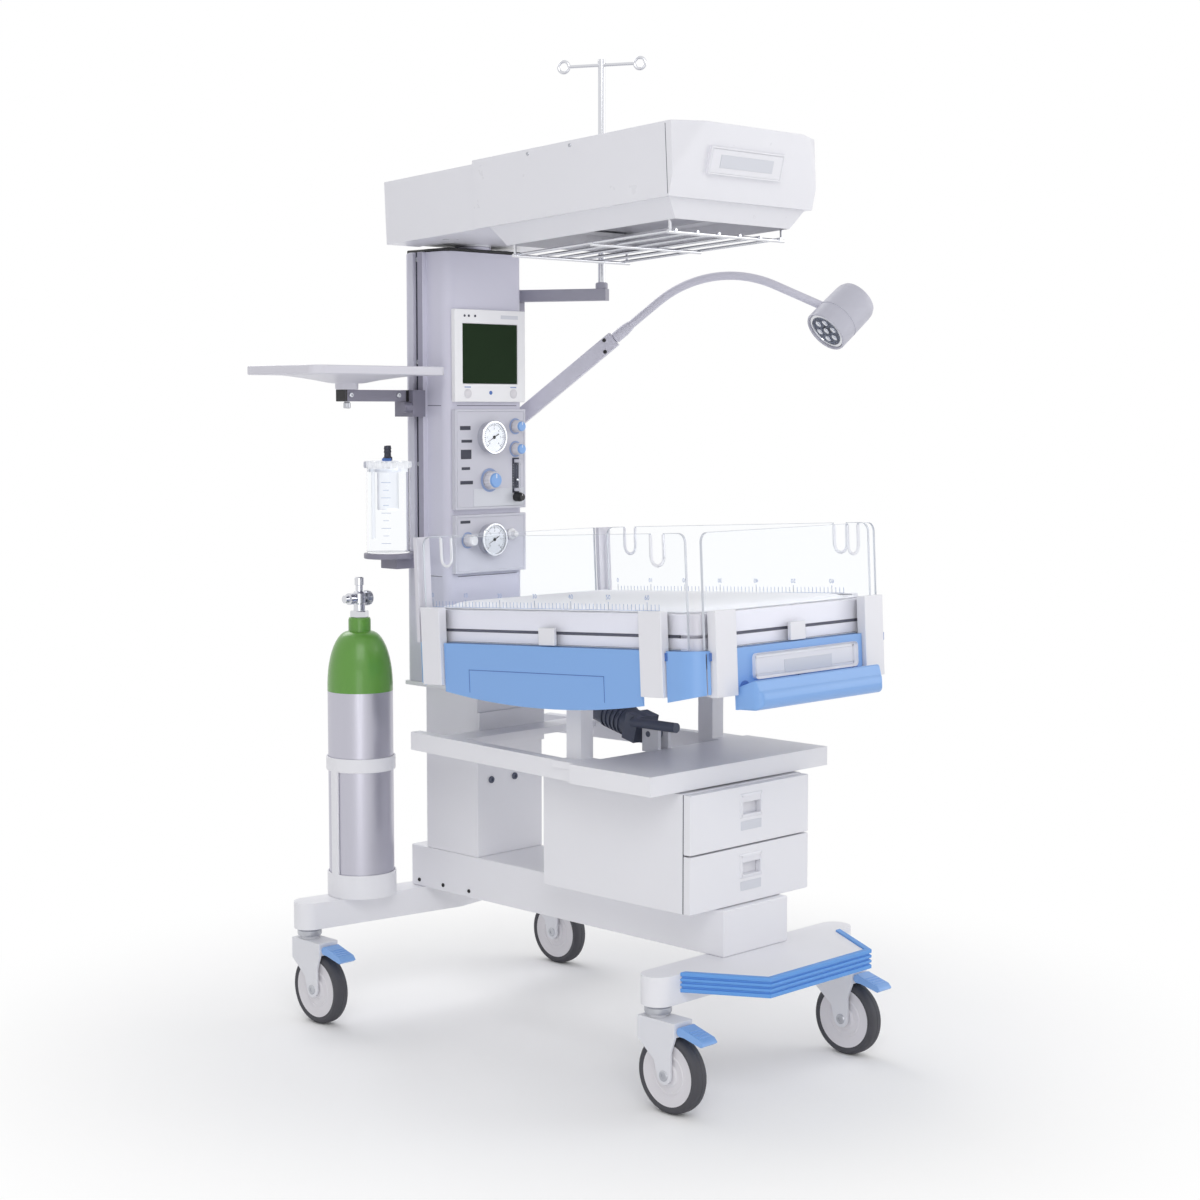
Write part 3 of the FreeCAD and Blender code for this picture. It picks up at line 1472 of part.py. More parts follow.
def lamp_arm():
    """Upright hub on the pin and a flat rising arm."""
    hub = Part.makeCylinder(S.lamp_hub_radius, S.lamp_hub_height, LAMP_SEAT + Vector(0, 0, S.seat_gap))
    length = (NECK_START - LAMP_ROOT).Length - S.face_gap
    half = S.lamp_arm_height / 2
    bar = block_shape((0, length), (-S.lamp_arm_thickness / 2, S.lamp_arm_thickness / 2), (-half, half))
    pitch = math.degrees(math.atan2(S.lamp_elbow_rise, S.lamp_elbow))
    turn = Rotation(Z_AXIS, S.lamp_angle).multiply(Rotation(Y_AXIS, -pitch))
    bar.Placement = Placement(LAMP_ROOT, turn)
    depth = S.lamp_hub_height - S.stand_pin + S.seat_gap
    pin_hole = Part.makeCylinder(S.stand_pin + S.running_gap, depth, LAMP_SEAT)
    plug = S.neck_plug + S.face_gap
    socket = rod_shape(S.neck_radius / 2 + S.running_gap, NECK_START - ARM_WAY * plug, NECK_START)
    return hub.fuse(bar).cut([pin_hole, socket]).removeSplitter()


def neck_path():
    """Gooseneck line: straight rise, level arc over the top, drop to the head."""
    rise = math.atan2(ARM_WAY.z, LAMP_WAY.dot(ARM_WAY))
    first = NECK_START
    bend_start = first + ARM_WAY * S.neck_rise
    fall = -math.radians(S.neck_fall)

    def offset(angle):
        return LAMP_WAY * math.sin(angle) * -1 + Vector(0, 0, math.cos(angle))

    radius = S.neck_bend_radius
    centre = bend_start - offset(rise) * radius
    top = centre + offset((rise + fall) / 2) * radius
    bend_end = centre + offset(fall) * radius
    out = LAMP_WAY * math.cos(fall) + Vector(0, 0, math.sin(fall))
    end = bend_end + out * S.neck_tip
    return first, bend_start, top, bend_end, end, out


def gooseneck():
    first, bend_start, top, bend_end, end, out = neck_path()
    edges = [
        Part.LineSegment(first, bend_start).toShape(),
        Part.Arc(bend_start, top, bend_end).toShape(),
        Part.LineSegment(bend_end, end).toShape(),
    ]
    path = Part.Wire(edges)
    profile = Part.Wire([Part.Circle(first, ARM_WAY, S.neck_radius).toShape()])
    tube = path.makePipeShell([profile], True, True)
    stub = rod_shape(S.neck_radius / 2, first - ARM_WAY * S.neck_plug, first)
    return tube.fuse(stub).removeSplitter()


def lamp_head():
    """Drum lamp whose lens end looks down across the bed."""
    end, out = neck_path()[4:]
    heading = math.radians(S.lamp_head_heading)
    down = math.radians(S.lamp_head_tip)
    look = Vector(math.cos(heading), math.sin(heading), 0) * math.cos(down) - Vector(0, 0, math.sin(down))
    middle = end + out * (S.lamp_head_radius - S.lamp_head_seat)
    back = middle - look * (S.lamp_head_length / 2)
    front = middle + look * (S.lamp_head_length / 2)
    drum = rod_shape(S.lamp_head_radius, back, front)
    lens = rod_shape(S.lamp_head_radius - S.lens_rim, front - look * S.lens_inset, front + look)
    seat_hole = rod_shape(S.neck_radius, end - out * S.neck_plug, end)
    return drum.cut([lens, seat_hole])


sub_part("arm_brackets", solid(Part.makeCompound([stand_bracket(), lamp_bracket()])))
sub_part("lamp_arm", solid(lamp_arm()))
sub_part("gooseneck", solid(gooseneck()))
sub_part("lamp_head", solid(lamp_head()))

# Side tray

SHELF_PIN = Vector(S.shelf_x, S.rail_y, S.shelf_arm_z)


def tray_arm():
    """Clamp on the left rail and a bar out to the tray's upright pin."""
    half_y = S.tray_bar_width / 2
    half_z = S.tray_bar_height / 2
    clamp = rail_clamp(-1, S.shelf_arm_z + half_z - S.clamp_height / 2, RAIL_FACE + S.clamp_depth)
    bar = block_shape(
        (S.shelf_x - half_y, -RAIL_FACE - S.clamp_depth / 2),
        (S.rail_y - half_y, S.rail_y + half_y),
        (S.shelf_arm_z - half_z, S.shelf_arm_z + half_z),
    )
    pin = Part.makeCylinder(S.shelf_pin, S.shelf_z - S.shelf_arm_z + S.shelf_pin, SHELF_PIN)
    knob_start = Vector(
        -RAIL_FACE - S.clamp_depth,
        S.rail_y - S.clamp_width / 2 + S.tray_knob_radius,
        S.shelf_arm_z - half_z - S.tray_knob_radius - S.face_gap,
    )
    knob_end = knob_start - X_AXIS * S.tray_knob_length
    knob = rod_shape(S.tray_knob_radius, knob_start + X_AXIS * S.face_gap, knob_end)
    return clamp.multiFuse([bar, pin, knob]).removeSplitter()


def tray_plate():
    half_x = S.shelf_width / 2
    half_y = S.shelf_length / 2
    top = S.shelf_z + S.shelf_depth
    dish = rounded_block(half_x, half_y, S.shelf_round, S.shelf_z, top)
    wall = S.shelf_wall
    hollow = rounded_block(half_x - wall, half_y - wall, S.shelf_round - wall, S.shelf_z + wall, top)
    dish = dish.cut(hollow)
    foot = S.shelf_arm_z + S.tray_bar_height / 2 + S.seat_gap
    boss = Part.makeCylinder(S.shelf_boss_radius, S.shelf_z - foot, Vector(0, 0, foot))
    cap = Part.makeCylinder(S.shelf_boss_radius, S.shelf_boss_rise, Vector(0, 0, S.shelf_z))
    plate = dish.multiFuse([boss, cap]).removeSplitter()
    depth = S.shelf_z - S.shelf_arm_z + S.shelf_pin + S.seat_gap
    bore = Part.makeCylinder(S.shelf_pin + S.running_gap, depth, Vector(0, 0, S.shelf_arm_z))
    plate = plate.cut(bore)
    plate.translate(Vector(S.shelf_x, S.rail_y, 0))
    return plate


sub_part("tray_arm", solid(tray_arm()))
sub_part("tray_plate", solid(tray_plate()))

# Suction jar

JAR = Vector(S.jar_x, S.rail_y, S.jar_bottom)


def jar_holder():
    """Clamp on the left rail with a shelf and a ring that carry the jar."""
    low = S.jar_bottom - S.holder_height
    half = S.holder_width / 2
    clamp = block_shape(
        (S.jar_x, -RAIL_FACE), (S.rail_y - half, S.rail_y + half), (low, S.jar_bottom - S.seat_gap)
    )
    thick = S.holder_height / 3
    shelf = Part.makeCylinder(S.jar_radius + S.holder_rim, thick, JAR - Vector(0, 0, thick + S.seat_gap))
    return clamp.fuse(shelf).removeSplitter()


def suction_jar():
    outside = Part.makeCylinder(S.jar_radius, S.jar_height, JAR)
    inside = Part.makeCylinder(S.jar_radius - S.jar_wall, S.jar_height, JAR + Vector(0, 0, 2 * S.jar_wall))
    return outside.cut(inside)


def jar_lid():
    """Lid with two hose stubs and a hanging float cage."""
    base = JAR + Vector(0, 0, S.jar_height)
    plate = Part.makeCylinder(S.jar_radius + S.lid_overhang, S.lid_height, base)
    plug_radius = S.jar_radius - S.jar_wall - S.seat_gap
    plug = Part.makeCylinder(plug_radius, S.lid_plug, base - Vector(0, 0, S.lid_plug))
    cage = Part.makeCylinder(S.jar_radius / 2, S.jar_height / 2, base - Vector(0, 0, S.jar_height / 2))
    pieces = [plug, cage]
    for side in (-1, 1):
        start = base + Vector(side * S.stub_spread, side * S.stub_spread, S.lid_height / 2)
        pieces.append(rod_shape(S.stub_collar, start, start + Z_AXIS * (S.stub_height / 2)))
        pieces.append(rod_shape(S.stub_radius, start, start + Z_AXIS * S.stub_height))
    return plate.multiFuse(pieces).removeSplitter()


sub_part("jar_holder", solid(jar_holder()))
sub_part("suction_jar", solid(suction_jar()))
sub_part("jar_lid", solid(jar_lid()))

# Oxygen cylinder

BOTTLE_Y = S.rear_axle_y - S.rear_sweep * (1 - abs(S.bottle_x) / (S.rear_track / 2))
BOTTLE = Vector(S.bottle_x, BOTTLE_Y, S.leg_top)


def oxygen_cylinder():
    """Bottle with a domed shoulder, a neck and a valve."""
    foot = S.bottle_foot
    shoulder = S.bottle_shoulder - S.leg_top
    neck = S.bottle_neck - S.leg_top
    radius = S.bottle_radius
    edge = 2 * S.cup_wall
    profile = [(0, foot), (radius - edge, foot), (radius, foot + edge), (radius, shoulder)]
    rise = neck - S.bottle_collar - shoulder
    for step in range(1, 9):
        angle = math.radians(90 * step / 8)
        width = S.neck_bottle_radius + (radius - S.neck_bottle_radius) * math.cos(angle)
        profile.append((width, shoulder + rise * math.sin(angle)))
    profile += [(S.neck_bottle_radius, neck), (0, neck)]
    body = revolved([Vector(x, 0, z) for x, z in profile], Z_AXIS)
    top = S.valve_top - S.leg_top
    valve = Part.makeCylinder(S.valve_radius, top - neck, Vector(0, 0, neck))
    height = neck + S.outlet_rise
    outlet = rod_shape(S.valve_radius * 0.7, Vector(0, 0, height), Vector(-S.outlet_reach, 0, height))
    crown = Part.makeCylinder(S.valve_radius + S.cup_wall, S.crown_height, Vector(0, 0, neck + S.face_gap))
    bottle = Part.makeCompound([body, valve.multiFuse([outlet, crown]).removeSplitter()])
    bottle.translate(BOTTLE)
    return bottle


def cylinder_holder():
    """Foot cup, ring and two straps that stand on the rear bar beside the column."""
    inner = S.bottle_radius + S.seat_gap
    outer = inner + S.cup_wall
    floor = Part.makeCylinder(outer, S.bottle_foot, Vector(0, 0, 0))
    pieces = []
    for bottom, height in ((0, S.cup_height), (S.ring_z - S.leg_top, S.ring_height)):
        tube = Part.makeCylinder(outer, height, Vector(0, 0, bottom))
        pieces.append(tube.cut(Part.makeCylinder(inner, height, Vector(0, 0, bottom))))
    height = S.ring_z - S.leg_top + S.ring_height
    shell = Part.makeCylinder(outer, height).cut(Part.makeCylinder(inner, height))
    for x in (-outer, outer):
        span = (x - S.strap_width, x + S.strap_width)
        strap = block_shape(span, (-S.strap_width / 2, S.strap_width / 2), (0, height))
        pieces.append(shell.common(strap))
    holder = floor.multiFuse(pieces).removeSplitter()
    holder.translate(BOTTLE)
    return holder


sub_part("oxygen_cylinder", solid(oxygen_cylinder()))
sub_part("cylinder_holder", solid(cylinder_holder()))

doc.recompute()
for item in doc.Objects:
    if "Invalid" in item.State or "Error" in item.State:
        raise RuntimeError(f"{item.Name} did not build")
os.makedirs("parts", exist_ok=True)
for piece in sub_parts:
    if piece.Shape.isNull() or not piece.Shape.isValid():
        raise RuntimeError(f"{piece.Label} has no valid shape")
    piece.Shape.exportStep(f"parts/{piece.Label}.step")
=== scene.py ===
import json
import math

import bmesh
import bpy
from mathutils import Matrix, Vector

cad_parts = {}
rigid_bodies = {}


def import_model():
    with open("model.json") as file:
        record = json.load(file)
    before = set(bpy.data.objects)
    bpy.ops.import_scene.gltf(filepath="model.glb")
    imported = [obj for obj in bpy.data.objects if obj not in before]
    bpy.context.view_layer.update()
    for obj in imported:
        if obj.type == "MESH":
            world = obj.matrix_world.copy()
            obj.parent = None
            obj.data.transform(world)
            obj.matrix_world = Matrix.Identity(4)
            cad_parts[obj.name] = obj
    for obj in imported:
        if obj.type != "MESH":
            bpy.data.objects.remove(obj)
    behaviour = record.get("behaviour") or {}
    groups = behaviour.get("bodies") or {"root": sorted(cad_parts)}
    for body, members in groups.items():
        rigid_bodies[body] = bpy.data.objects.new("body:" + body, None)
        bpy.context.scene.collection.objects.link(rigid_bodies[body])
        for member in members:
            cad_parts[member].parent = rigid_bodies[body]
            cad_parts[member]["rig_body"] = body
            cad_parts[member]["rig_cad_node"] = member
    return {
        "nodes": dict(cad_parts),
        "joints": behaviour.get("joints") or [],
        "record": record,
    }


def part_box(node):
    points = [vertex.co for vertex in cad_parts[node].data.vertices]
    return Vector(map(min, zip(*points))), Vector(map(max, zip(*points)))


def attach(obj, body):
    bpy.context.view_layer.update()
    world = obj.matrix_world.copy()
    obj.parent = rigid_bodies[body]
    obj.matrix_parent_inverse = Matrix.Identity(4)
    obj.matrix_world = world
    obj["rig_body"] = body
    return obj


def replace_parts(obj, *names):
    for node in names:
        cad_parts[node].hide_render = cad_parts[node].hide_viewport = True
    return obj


# Infant resuscitation warmer: finishes and fine detail round the fixed frame. Metres, Z up, front towards -Y.

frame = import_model()
NODES = frame["nodes"]
JOINTS = {joint["name"]: joint for joint in frame["joints"]}
BODY_OF = {node: body for body, nodes in frame["record"]["behaviour"]["bodies"].items() for node in nodes}
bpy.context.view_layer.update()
MARKS = ("fl", "fr", "rl", "rr")
SIDES = (-1, 1)
UP, FRONT, LEFT, RIGHT = (0, 0, 1), (0, -1, 0), (-1, 0, 0), (1, 0, 0)


def joint_spot(name):
    """Where a joint sits."""
    return Vector(JOINTS[name]["pos_m"])


# Places taken from the joints: the bed is drawn level about its pivot and tilted with it

fold_axis = Vector(JOINTS["side_right_fold"]["axis"])
BED_LEAN = math.atan2(fold_axis.z, fold_axis.y)
BED = Matrix.Translation(joint_spot("bed_tilt")) @ Matrix.Rotation(BED_LEAN, 4, "X")
HOOD_PIVOT = joint_spot("hood_swivel")
HOOD_RISE = math.radians(3.2)
HOOD = Matrix.Translation(HOOD_PIVOT) @ Matrix.Rotation(-HOOD_RISE, 4, "X")
FACE_Y = JOINTS["air_knob_turn"]["pos_m"][1]


# Shared shader effects

DRIFT_SCALE, PATCH_SCALE = 3.5, 22.0


def new_group(name, inputs, outputs):
    """An empty shader node group with named sockets."""
    group = bpy.data.node_groups.new(name, "ShaderNodeTree")
    for label, kind, value in inputs:
        socket = group.interface.new_socket(name=label, in_out="INPUT", socket_type=kind)
        socket.default_value = value
    for label, kind in outputs:
        group.interface.new_socket(name=label, in_out="OUTPUT", socket_type=kind)
    start = group.nodes.new("NodeGroupInput")
    end = group.nodes.new("NodeGroupOutput")
    return group, start, end


def set_values(node, values):
    """Give a node's sockets their values by name."""
    for label, value in values.items():
        node.inputs[label].default_value = value


def noise(tree, source, scale, detail=4.0):
    texture = tree.nodes.new("ShaderNodeTexNoise")
    texture.inputs["Detail"].default_value = detail
    tree.links.new(source, texture.inputs["Vector"])
    if isinstance(scale, (int, float)):
        texture.inputs["Scale"].default_value = scale
    else:
        tree.links.new(scale, texture.inputs["Scale"])
    return texture.outputs["Fac"]


def maths(tree, operation, first, second):
    node = tree.nodes.new("ShaderNodeMath")
    node.operation = operation
    for socket, value in zip(node.inputs, (first, second)):
        if isinstance(value, (int, float)):
            socket.default_value = value
        else:
            tree.links.new(value, socket)
    return node.outputs[0]


def tinted(tree, colour, amount, mask, dark):
    """A colour pulled towards a darker or lighter share of itself by a mask."""
    scaled = tree.nodes.new("ShaderNodeMix")
    scaled.data_type = "RGBA"
    scaled.blend_type = "MULTIPLY"
    scaled.inputs[7].default_value = (dark, dark, dark, 1)
    tree.links.new(colour, scaled.inputs[6])
    tree.links.new(maths(tree, "MULTIPLY", amount, mask), scaled.inputs[0])
    return scaled.outputs[2]


def uneven_roughness(group, start, end, mask):
    """Roughness that rises and falls with a mask."""
    spread = maths(group, "MULTIPLY", maths(group, "SUBTRACT", mask, 0.5), start.outputs["Patch"])
    group.links.new(maths(group, "ADD", start.outputs["Roughness"], spread), end.inputs["Roughness"])


def surface_group():
    """Slow colour drift, handled patches and a fine grain for paint and mouldings."""
    group, start, end = new_group(
        "Surface drift",
        (
            ("Color", "NodeSocketColor", (1, 1, 1, 1)),
            ("Drift", "NodeSocketFloat", 0.1),
            ("Roughness", "NodeSocketFloat", 0.4),
            ("Patch", "NodeSocketFloat", 0.1),
            ("Grain Scale", "NodeSocketFloat", 600.0),
        ),
        (("Color", "NodeSocketColor"), ("Roughness", "NodeSocketFloat"), ("Height", "NodeSocketFloat")),
    )
    place = group.nodes.new("ShaderNodeTexCoord").outputs["Object"]
    slow = noise(group, place, DRIFT_SCALE, 6.0)
    patch = noise(group, place, PATCH_SCALE, 5.0)
    grain = noise(group, place, start.outputs["Grain Scale"], 2.0)
    drifted = tinted(group, start.outputs["Color"], start.outputs["Drift"], slow, 0.55)
    group.links.new(drifted, end.inputs["Color"])
    uneven_roughness(group, start, end, patch)
    group.links.new(grain, end.inputs["Height"])
    return group


def brushed_group():
    """Fine lines drawn along one axis, for metal."""
    group, start, end = new_group(
        "Brushed lines",
        (
            ("Stretch", "NodeSocketVector", (900.0, 900.0, 8.0)),
            ("Roughness", "NodeSocketFloat", 0.3),
            ("Patch", "NodeSocketFloat", 0.2),
        ),
        (("Roughness", "NodeSocketFloat"), ("Height", "NodeSocketFloat")),
    )
    place = group.nodes.new("ShaderNodeTexCoord").outputs["Object"]
    stretch = group.nodes.new("ShaderNodeVectorMath")
    stretch.operation = "MULTIPLY"
    group.links.new(place, stretch.inputs[0])
    group.links.new(start.outputs["Stretch"], stretch.inputs[1])
    lines = noise(group, stretch.outputs[0], 1.0, 3.0)
    uneven_roughness(group, start, end, lines)
    group.links.new(lines, end.inputs["Height"])
    return group


def weave_group():
    """Crossing threads, for coated cloth."""
    group, start, end = new_group(
        "Thread weave",
        (("Color", "NodeSocketColor", (1, 1, 1, 1)), ("Threads", "NodeSocketFloat", 260.0)),
        (("Color", "NodeSocketColor"), ("Height", "NodeSocketFloat")),
    )
    place = group.nodes.new("ShaderNodeTexCoord").outputs["Object"]
    bands = []
    for direction in ("X", "Y"):
        wave = group.nodes.new("ShaderNodeTexWave")
        wave.bands_direction = direction
        group.links.new(place, wave.inputs["Vector"])
        group.links.new(start.outputs["Threads"], wave.inputs["Scale"])
        bands.append(wave.outputs["Fac"])
    weave = maths(group, "MULTIPLY", bands[0], bands[1])
    group.links.new(tinted(group, start.outputs["Color"], 0.25, weave, 0.8), end.inputs["Color"])
    group.links.new(weave, end.inputs["Height"])
    return group


SURFACE = surface_group()
BRUSHED = brushed_group()
WEAVE = weave_group()


# Finishes

def linear(red, green, blue):
    """Scene colour of a display colour given from 0 to 255."""
    channels = []
    for value in (red, green, blue):
        share = value / 255
        channels.append(share / 12.92 if share <= 0.04045 else ((share + 0.055) / 1.055) ** 2.4)
    return (*channels, 1)


def new_finish(name, effect, values):
    """A new material with a shared effect placed in it."""
    material = bpy.data.materials.new(name)
    material.use_nodes = True
    tree = material.node_tree
    group = tree.nodes.new("ShaderNodeGroup")
    group.node_tree = effect
    set_values(group, values)
    return material, tree, tree.nodes["Principled BSDF"], group


def bumped(tree, shader, height, strength, distance=0.0004):
    bump = tree.nodes.new("ShaderNodeBump")
    set_values(bump, {"Strength": strength, "Distance": distance})
    tree.links.new(height, bump.inputs["Height"])
    tree.links.new(bump.outputs["Normal"], shader.inputs["Normal"])


def painted(name, colour, roughness=0.4, grain=700.0, bump=0.12, drift=0.06, patch=0.12, coat=0.0, shine=0.5):
    """Paint, plastic or rubber with its own grain."""
    values = {
        "Color": linear(*colour),
        "Drift": drift,
        "Roughness": roughness,
        "Patch": patch,
        "Grain Scale": grain,
    }
    material, tree, shader, group = new_finish(name, SURFACE, values)
    tree.links.new(group.outputs["Color"], shader.inputs["Base Color"])
    tree.links.new(group.outputs["Roughness"], shader.inputs["Roughness"])
    set_values(shader, {"Specular IOR Level": shine, "Coat Weight": coat, "Coat Roughness": 0.12})
    bumped(tree, shader, group.outputs["Height"], bump)
    return material


def metal(name, colour, roughness, stretch, patch=0.2, bump=0.08):
    values = {"Stretch": stretch, "Roughness": roughness, "Patch": patch}
    material, tree, shader, group = new_finish(name, BRUSHED, values)
    set_values(shader, {"Base Color": linear(*colour), "Metallic": 1.0})
    tree.links.new(group.outputs["Roughness"], shader.inputs["Roughness"])
    bumped(tree, shader, group.outputs["Height"], bump, 0.0001)
    return material


def clear(name, colour, roughness=0.03, index=1.3, shade=0.12):
    """Clear plastic with faint wiping marks in its gloss, casting only a faint shadow."""
    material, tree, shader, group = new_finish(name, SURFACE, {"Roughness": roughness, "Patch": 0.03})
    tree.links.new(group.outputs["Roughness"], shader.inputs["Roughness"])
    set_values(shader, {"Base Color": linear(*colour), "Transmission Weight": 1.0, "IOR": index})
    shadow = tree.nodes.new("ShaderNodeLightPath").outputs["Is Shadow Ray"]
    let_through = maths(tree, "MULTIPLY", shadow, 1.0 - shade)
    tree.links.new(maths(tree, "SUBTRACT", 1.0, let_through), shader.inputs["Alpha"])
    return material


def cloth(name, colour, threads):
    material, tree, shader, group = new_finish(name, WEAVE, {"Color": linear(*colour), "Threads": threads})
    tree.links.new(group.outputs["Color"], shader.inputs["Base Color"])
    set_values(shader, {"Roughness": 0.75, "Sheen Weight": 0.25})
    bumped(tree, shader, group.outputs["Height"], 0.25)
    return material


WHITE_PAINT = painted("white_powder_paint", (236, 236, 241), 0.38, 900.0, 0.18)
WHITE_PLASTIC = painted("white_moulding", (232, 232, 238), 0.3, 1200.0, 0.06, coat=0.15)
# Darker, bluer copy of the white paint for the upper column: painted shade
COLUMN_SHADE_PAINT = painted("column_powder_paint", (211, 210, 225), 0.4, 900.0, 0.15)
BED_MOULDING = painted("bed_moulding", (217, 216, 225), 0.36, 900.0, 0.08)
BLUE_PLASTIC = painted("blue_moulding", (130, 174, 232), 0.36, 900.0, 0.1, coat=0.1)
BLUE_RUBBER = painted("blue_bumper_rubber", (98, 158, 228), 0.52, 500.0, 0.25)
# Deep blue of real mouldings, also used for painted shade on the skirt's outline and notches and at the ends
# of the ledge
DEEP_BLUE_AND_SHADE = painted("deep_blue_moulding", (72, 112, 184), 0.4, 900.0, 0.1)
FORK_GREY = painted("pale_fork_plastic", (226, 227, 233), 0.42, 800.0, 0.15)
HUB_GREY = painted("pale_hub_plastic", (222, 220, 225), 0.44, 800.0, 0.15)
TYRE = painted("tyre_rubber", (72, 72, 78), 0.68, 400.0, 0.3, drift=0.25)
ARM_GREY = painted("grey_arm_paint", (164, 163, 177), 0.42, 900.0, 0.15)
CLAMP_GREY = painted("dark_clamp_paint", (134, 132, 148), 0.42, 900.0, 0.15)
LAMP_GREY = painted("pale_lamp_paint", (212, 211, 224), 0.4, 900.0, 0.12)
# Darker copy of the lamp paint for the drum head: painted shade
LAMP_HEAD_SHADE = painted("lamp_head_paint", (192, 192, 204), 0.4, 900.0, 0.12)
RAIL_GREY = painted("rail_grey", (204, 204, 217), 0.4, 900.0, 0.1)
# Darker copy of the rail grey for the rails' front faces: painted shade
RAIL_PAINTED_SHADE = painted("rail_channel_grey", (156, 154, 172), 0.4, 900.0, 0.1)
SEAM = painted("shadow_seam", (84, 84, 98), 0.7, 900.0, 0.05)
MOTOR_GREY = painted("motor_casing", (86, 92, 110), 0.46, 500.0, 0.3)
BLACK = painted("black_plastic", (26, 26, 29), 0.45, 700.0, 0.15)
PANEL_GREY = painted("module_panel_grey", (205, 205, 216), 0.42, 900.0, 0.08)
BEZEL = painted("bezel_white", (240, 240, 243), 0.34, 900.0, 0.06)
# Dark ink of the print and dark parts, also used for painted shade in the rails' slots
INK_AND_SHADE = painted("printed_ink", (58, 60, 74), 0.6, 900.0, 0.02)
PALE_INK = painted("pale_printed_ink", (148, 166, 206), 0.6, 900.0, 0.02)
DIAL = painted("dial_card", (236, 238, 244), 0.5, 900.0, 0.02)
PLATE = painted("blank_name_plate", (214, 216, 224), 0.35, 900.0, 0.05)
SCREEN = painted("display_glass", (32, 50, 30), 0.4, 900.0, 0.0, drift=0.3, shine=0.04)
GREEN_PAINT = painted("green_bottle_paint", (96, 152, 60), 0.3, 600.0, 0.08, coat=0.2)
CHROME = metal("polished_steel", (214, 215, 220), 0.14, (60.0, 60.0, 60.0), 0.06, 0.01)
STEEL = metal("brushed_steel", (190, 192, 198), 0.32, (700.0, 700.0, 12.0))
BOTTLE = metal("brushed_bottle", (192, 191, 202), 0.36, (300.0, 300.0, 6.0), 0.25, 0.1)
REFLECTOR = metal("reflector_sheet", (234, 234, 238), 0.34, (40.0, 3.0, 40.0), 0.1, 0.05)
ACRYLIC = clear("clear_acrylic", (253, 254, 255), 0.03, 1.08)
FROSTED = clear("frosted_soft_plastic", (246, 248, 253), 0.4, 1.25, 0.3)
QUARTZ = clear("quartz_tube", (246, 232, 218), 0.2, 1.4, 0.4)
EDGING = painted("soft_white_edging", (236, 237, 243), 0.5, 700.0, 0.05)
# Pale opaque colour for the edges of the clear sheets: painted highlight
SHEET_EDGE_HIGHLIGHT = painted("polished_sheet_edge", (206, 210, 219), 0.25, 700.0, 0.02, coat=0.3)
PAD = cloth("coated_pad_cloth", (240, 241, 246), 420.0)

# Modelling by hand

def clean_selection():
    if bpy.context.mode != "OBJECT":
        bpy.ops.object.mode_set(mode="OBJECT")
    bpy.ops.object.select_all(action="DESELECT")


def pick(piece):
    """Make one object the only one selected."""
    clean_selection()
    piece.select_set(True)
    bpy.context.view_layer.objects.active = piece


def bake_place():
    bpy.ops.object.transform_apply(location=True, rotation=True, scale=True)


def settle(name, material, body, place=None, smooth=32.0):
    """Bake the active object's place into its mesh, name it and give it its finish and its body."""
    piece = bpy.context.active_object
    if place is not None:
        bake_place()
        piece.matrix_world = place
    bake_place()
    bpy.ops.object.shade_smooth_by_angle(angle=math.radians(smooth))
    shading = piece.modifiers.new("Shading", "WEIGHTED_NORMAL")
    shading.keep_sharp = True
    bpy.ops.object.modifier_apply(modifier="Shading")
    piece.name = name
    piece.data.name = name
    piece.data.materials.clear()
    piece.data.materials.append(material)
    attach(piece, body)
    return piece


def edit_selection(elements, test):
    """Select mesh elements of the object in edit mode that pass a test."""
    mesh = bmesh.from_edit_mesh(bpy.context.active_object.data)
    for group in (mesh.verts, mesh.edges, mesh.faces):
        for element in group:
            element.select_set(False)
    for element in getattr(mesh, elements):
        if test(element):
            element.select_set(True)
    mesh.select_flush_mode()
    bmesh.update_edit_mesh(bpy.context.active_object.data)


def cube(low, high):
    """The start of a box-shaped piece, between two corners."""
    clean_selection()
    low, high = Vector(low), Vector(high)
    bpy.ops.mesh.primitive_cube_add(size=1, location=(low + high) / 2, scale=high - low)
    bake_place()
    return bpy.context.active_object


def block(name, low, high, material, body, bevel=0.002, segments=3, place=None):
    """A box between two corners with rounded edges."""
    cube(low, high)
    bpy.ops.object.mode_set(mode="EDIT")
    bpy.ops.mesh.select_all(action="SELECT")
    bpy.ops.mesh.bevel(offset=bevel, segments=segments, affect="EDGES")
    bpy.ops.object.mode_set(mode="OBJECT")
    return settle(name, material, body, place)


def facing(base, axis):
    """Place whose Z runs along an axis from a base point."""
    return Matrix.Translation(Vector(base)) @ Vector(axis).to_track_quat("Z", "Y").to_matrix().to_4x4()


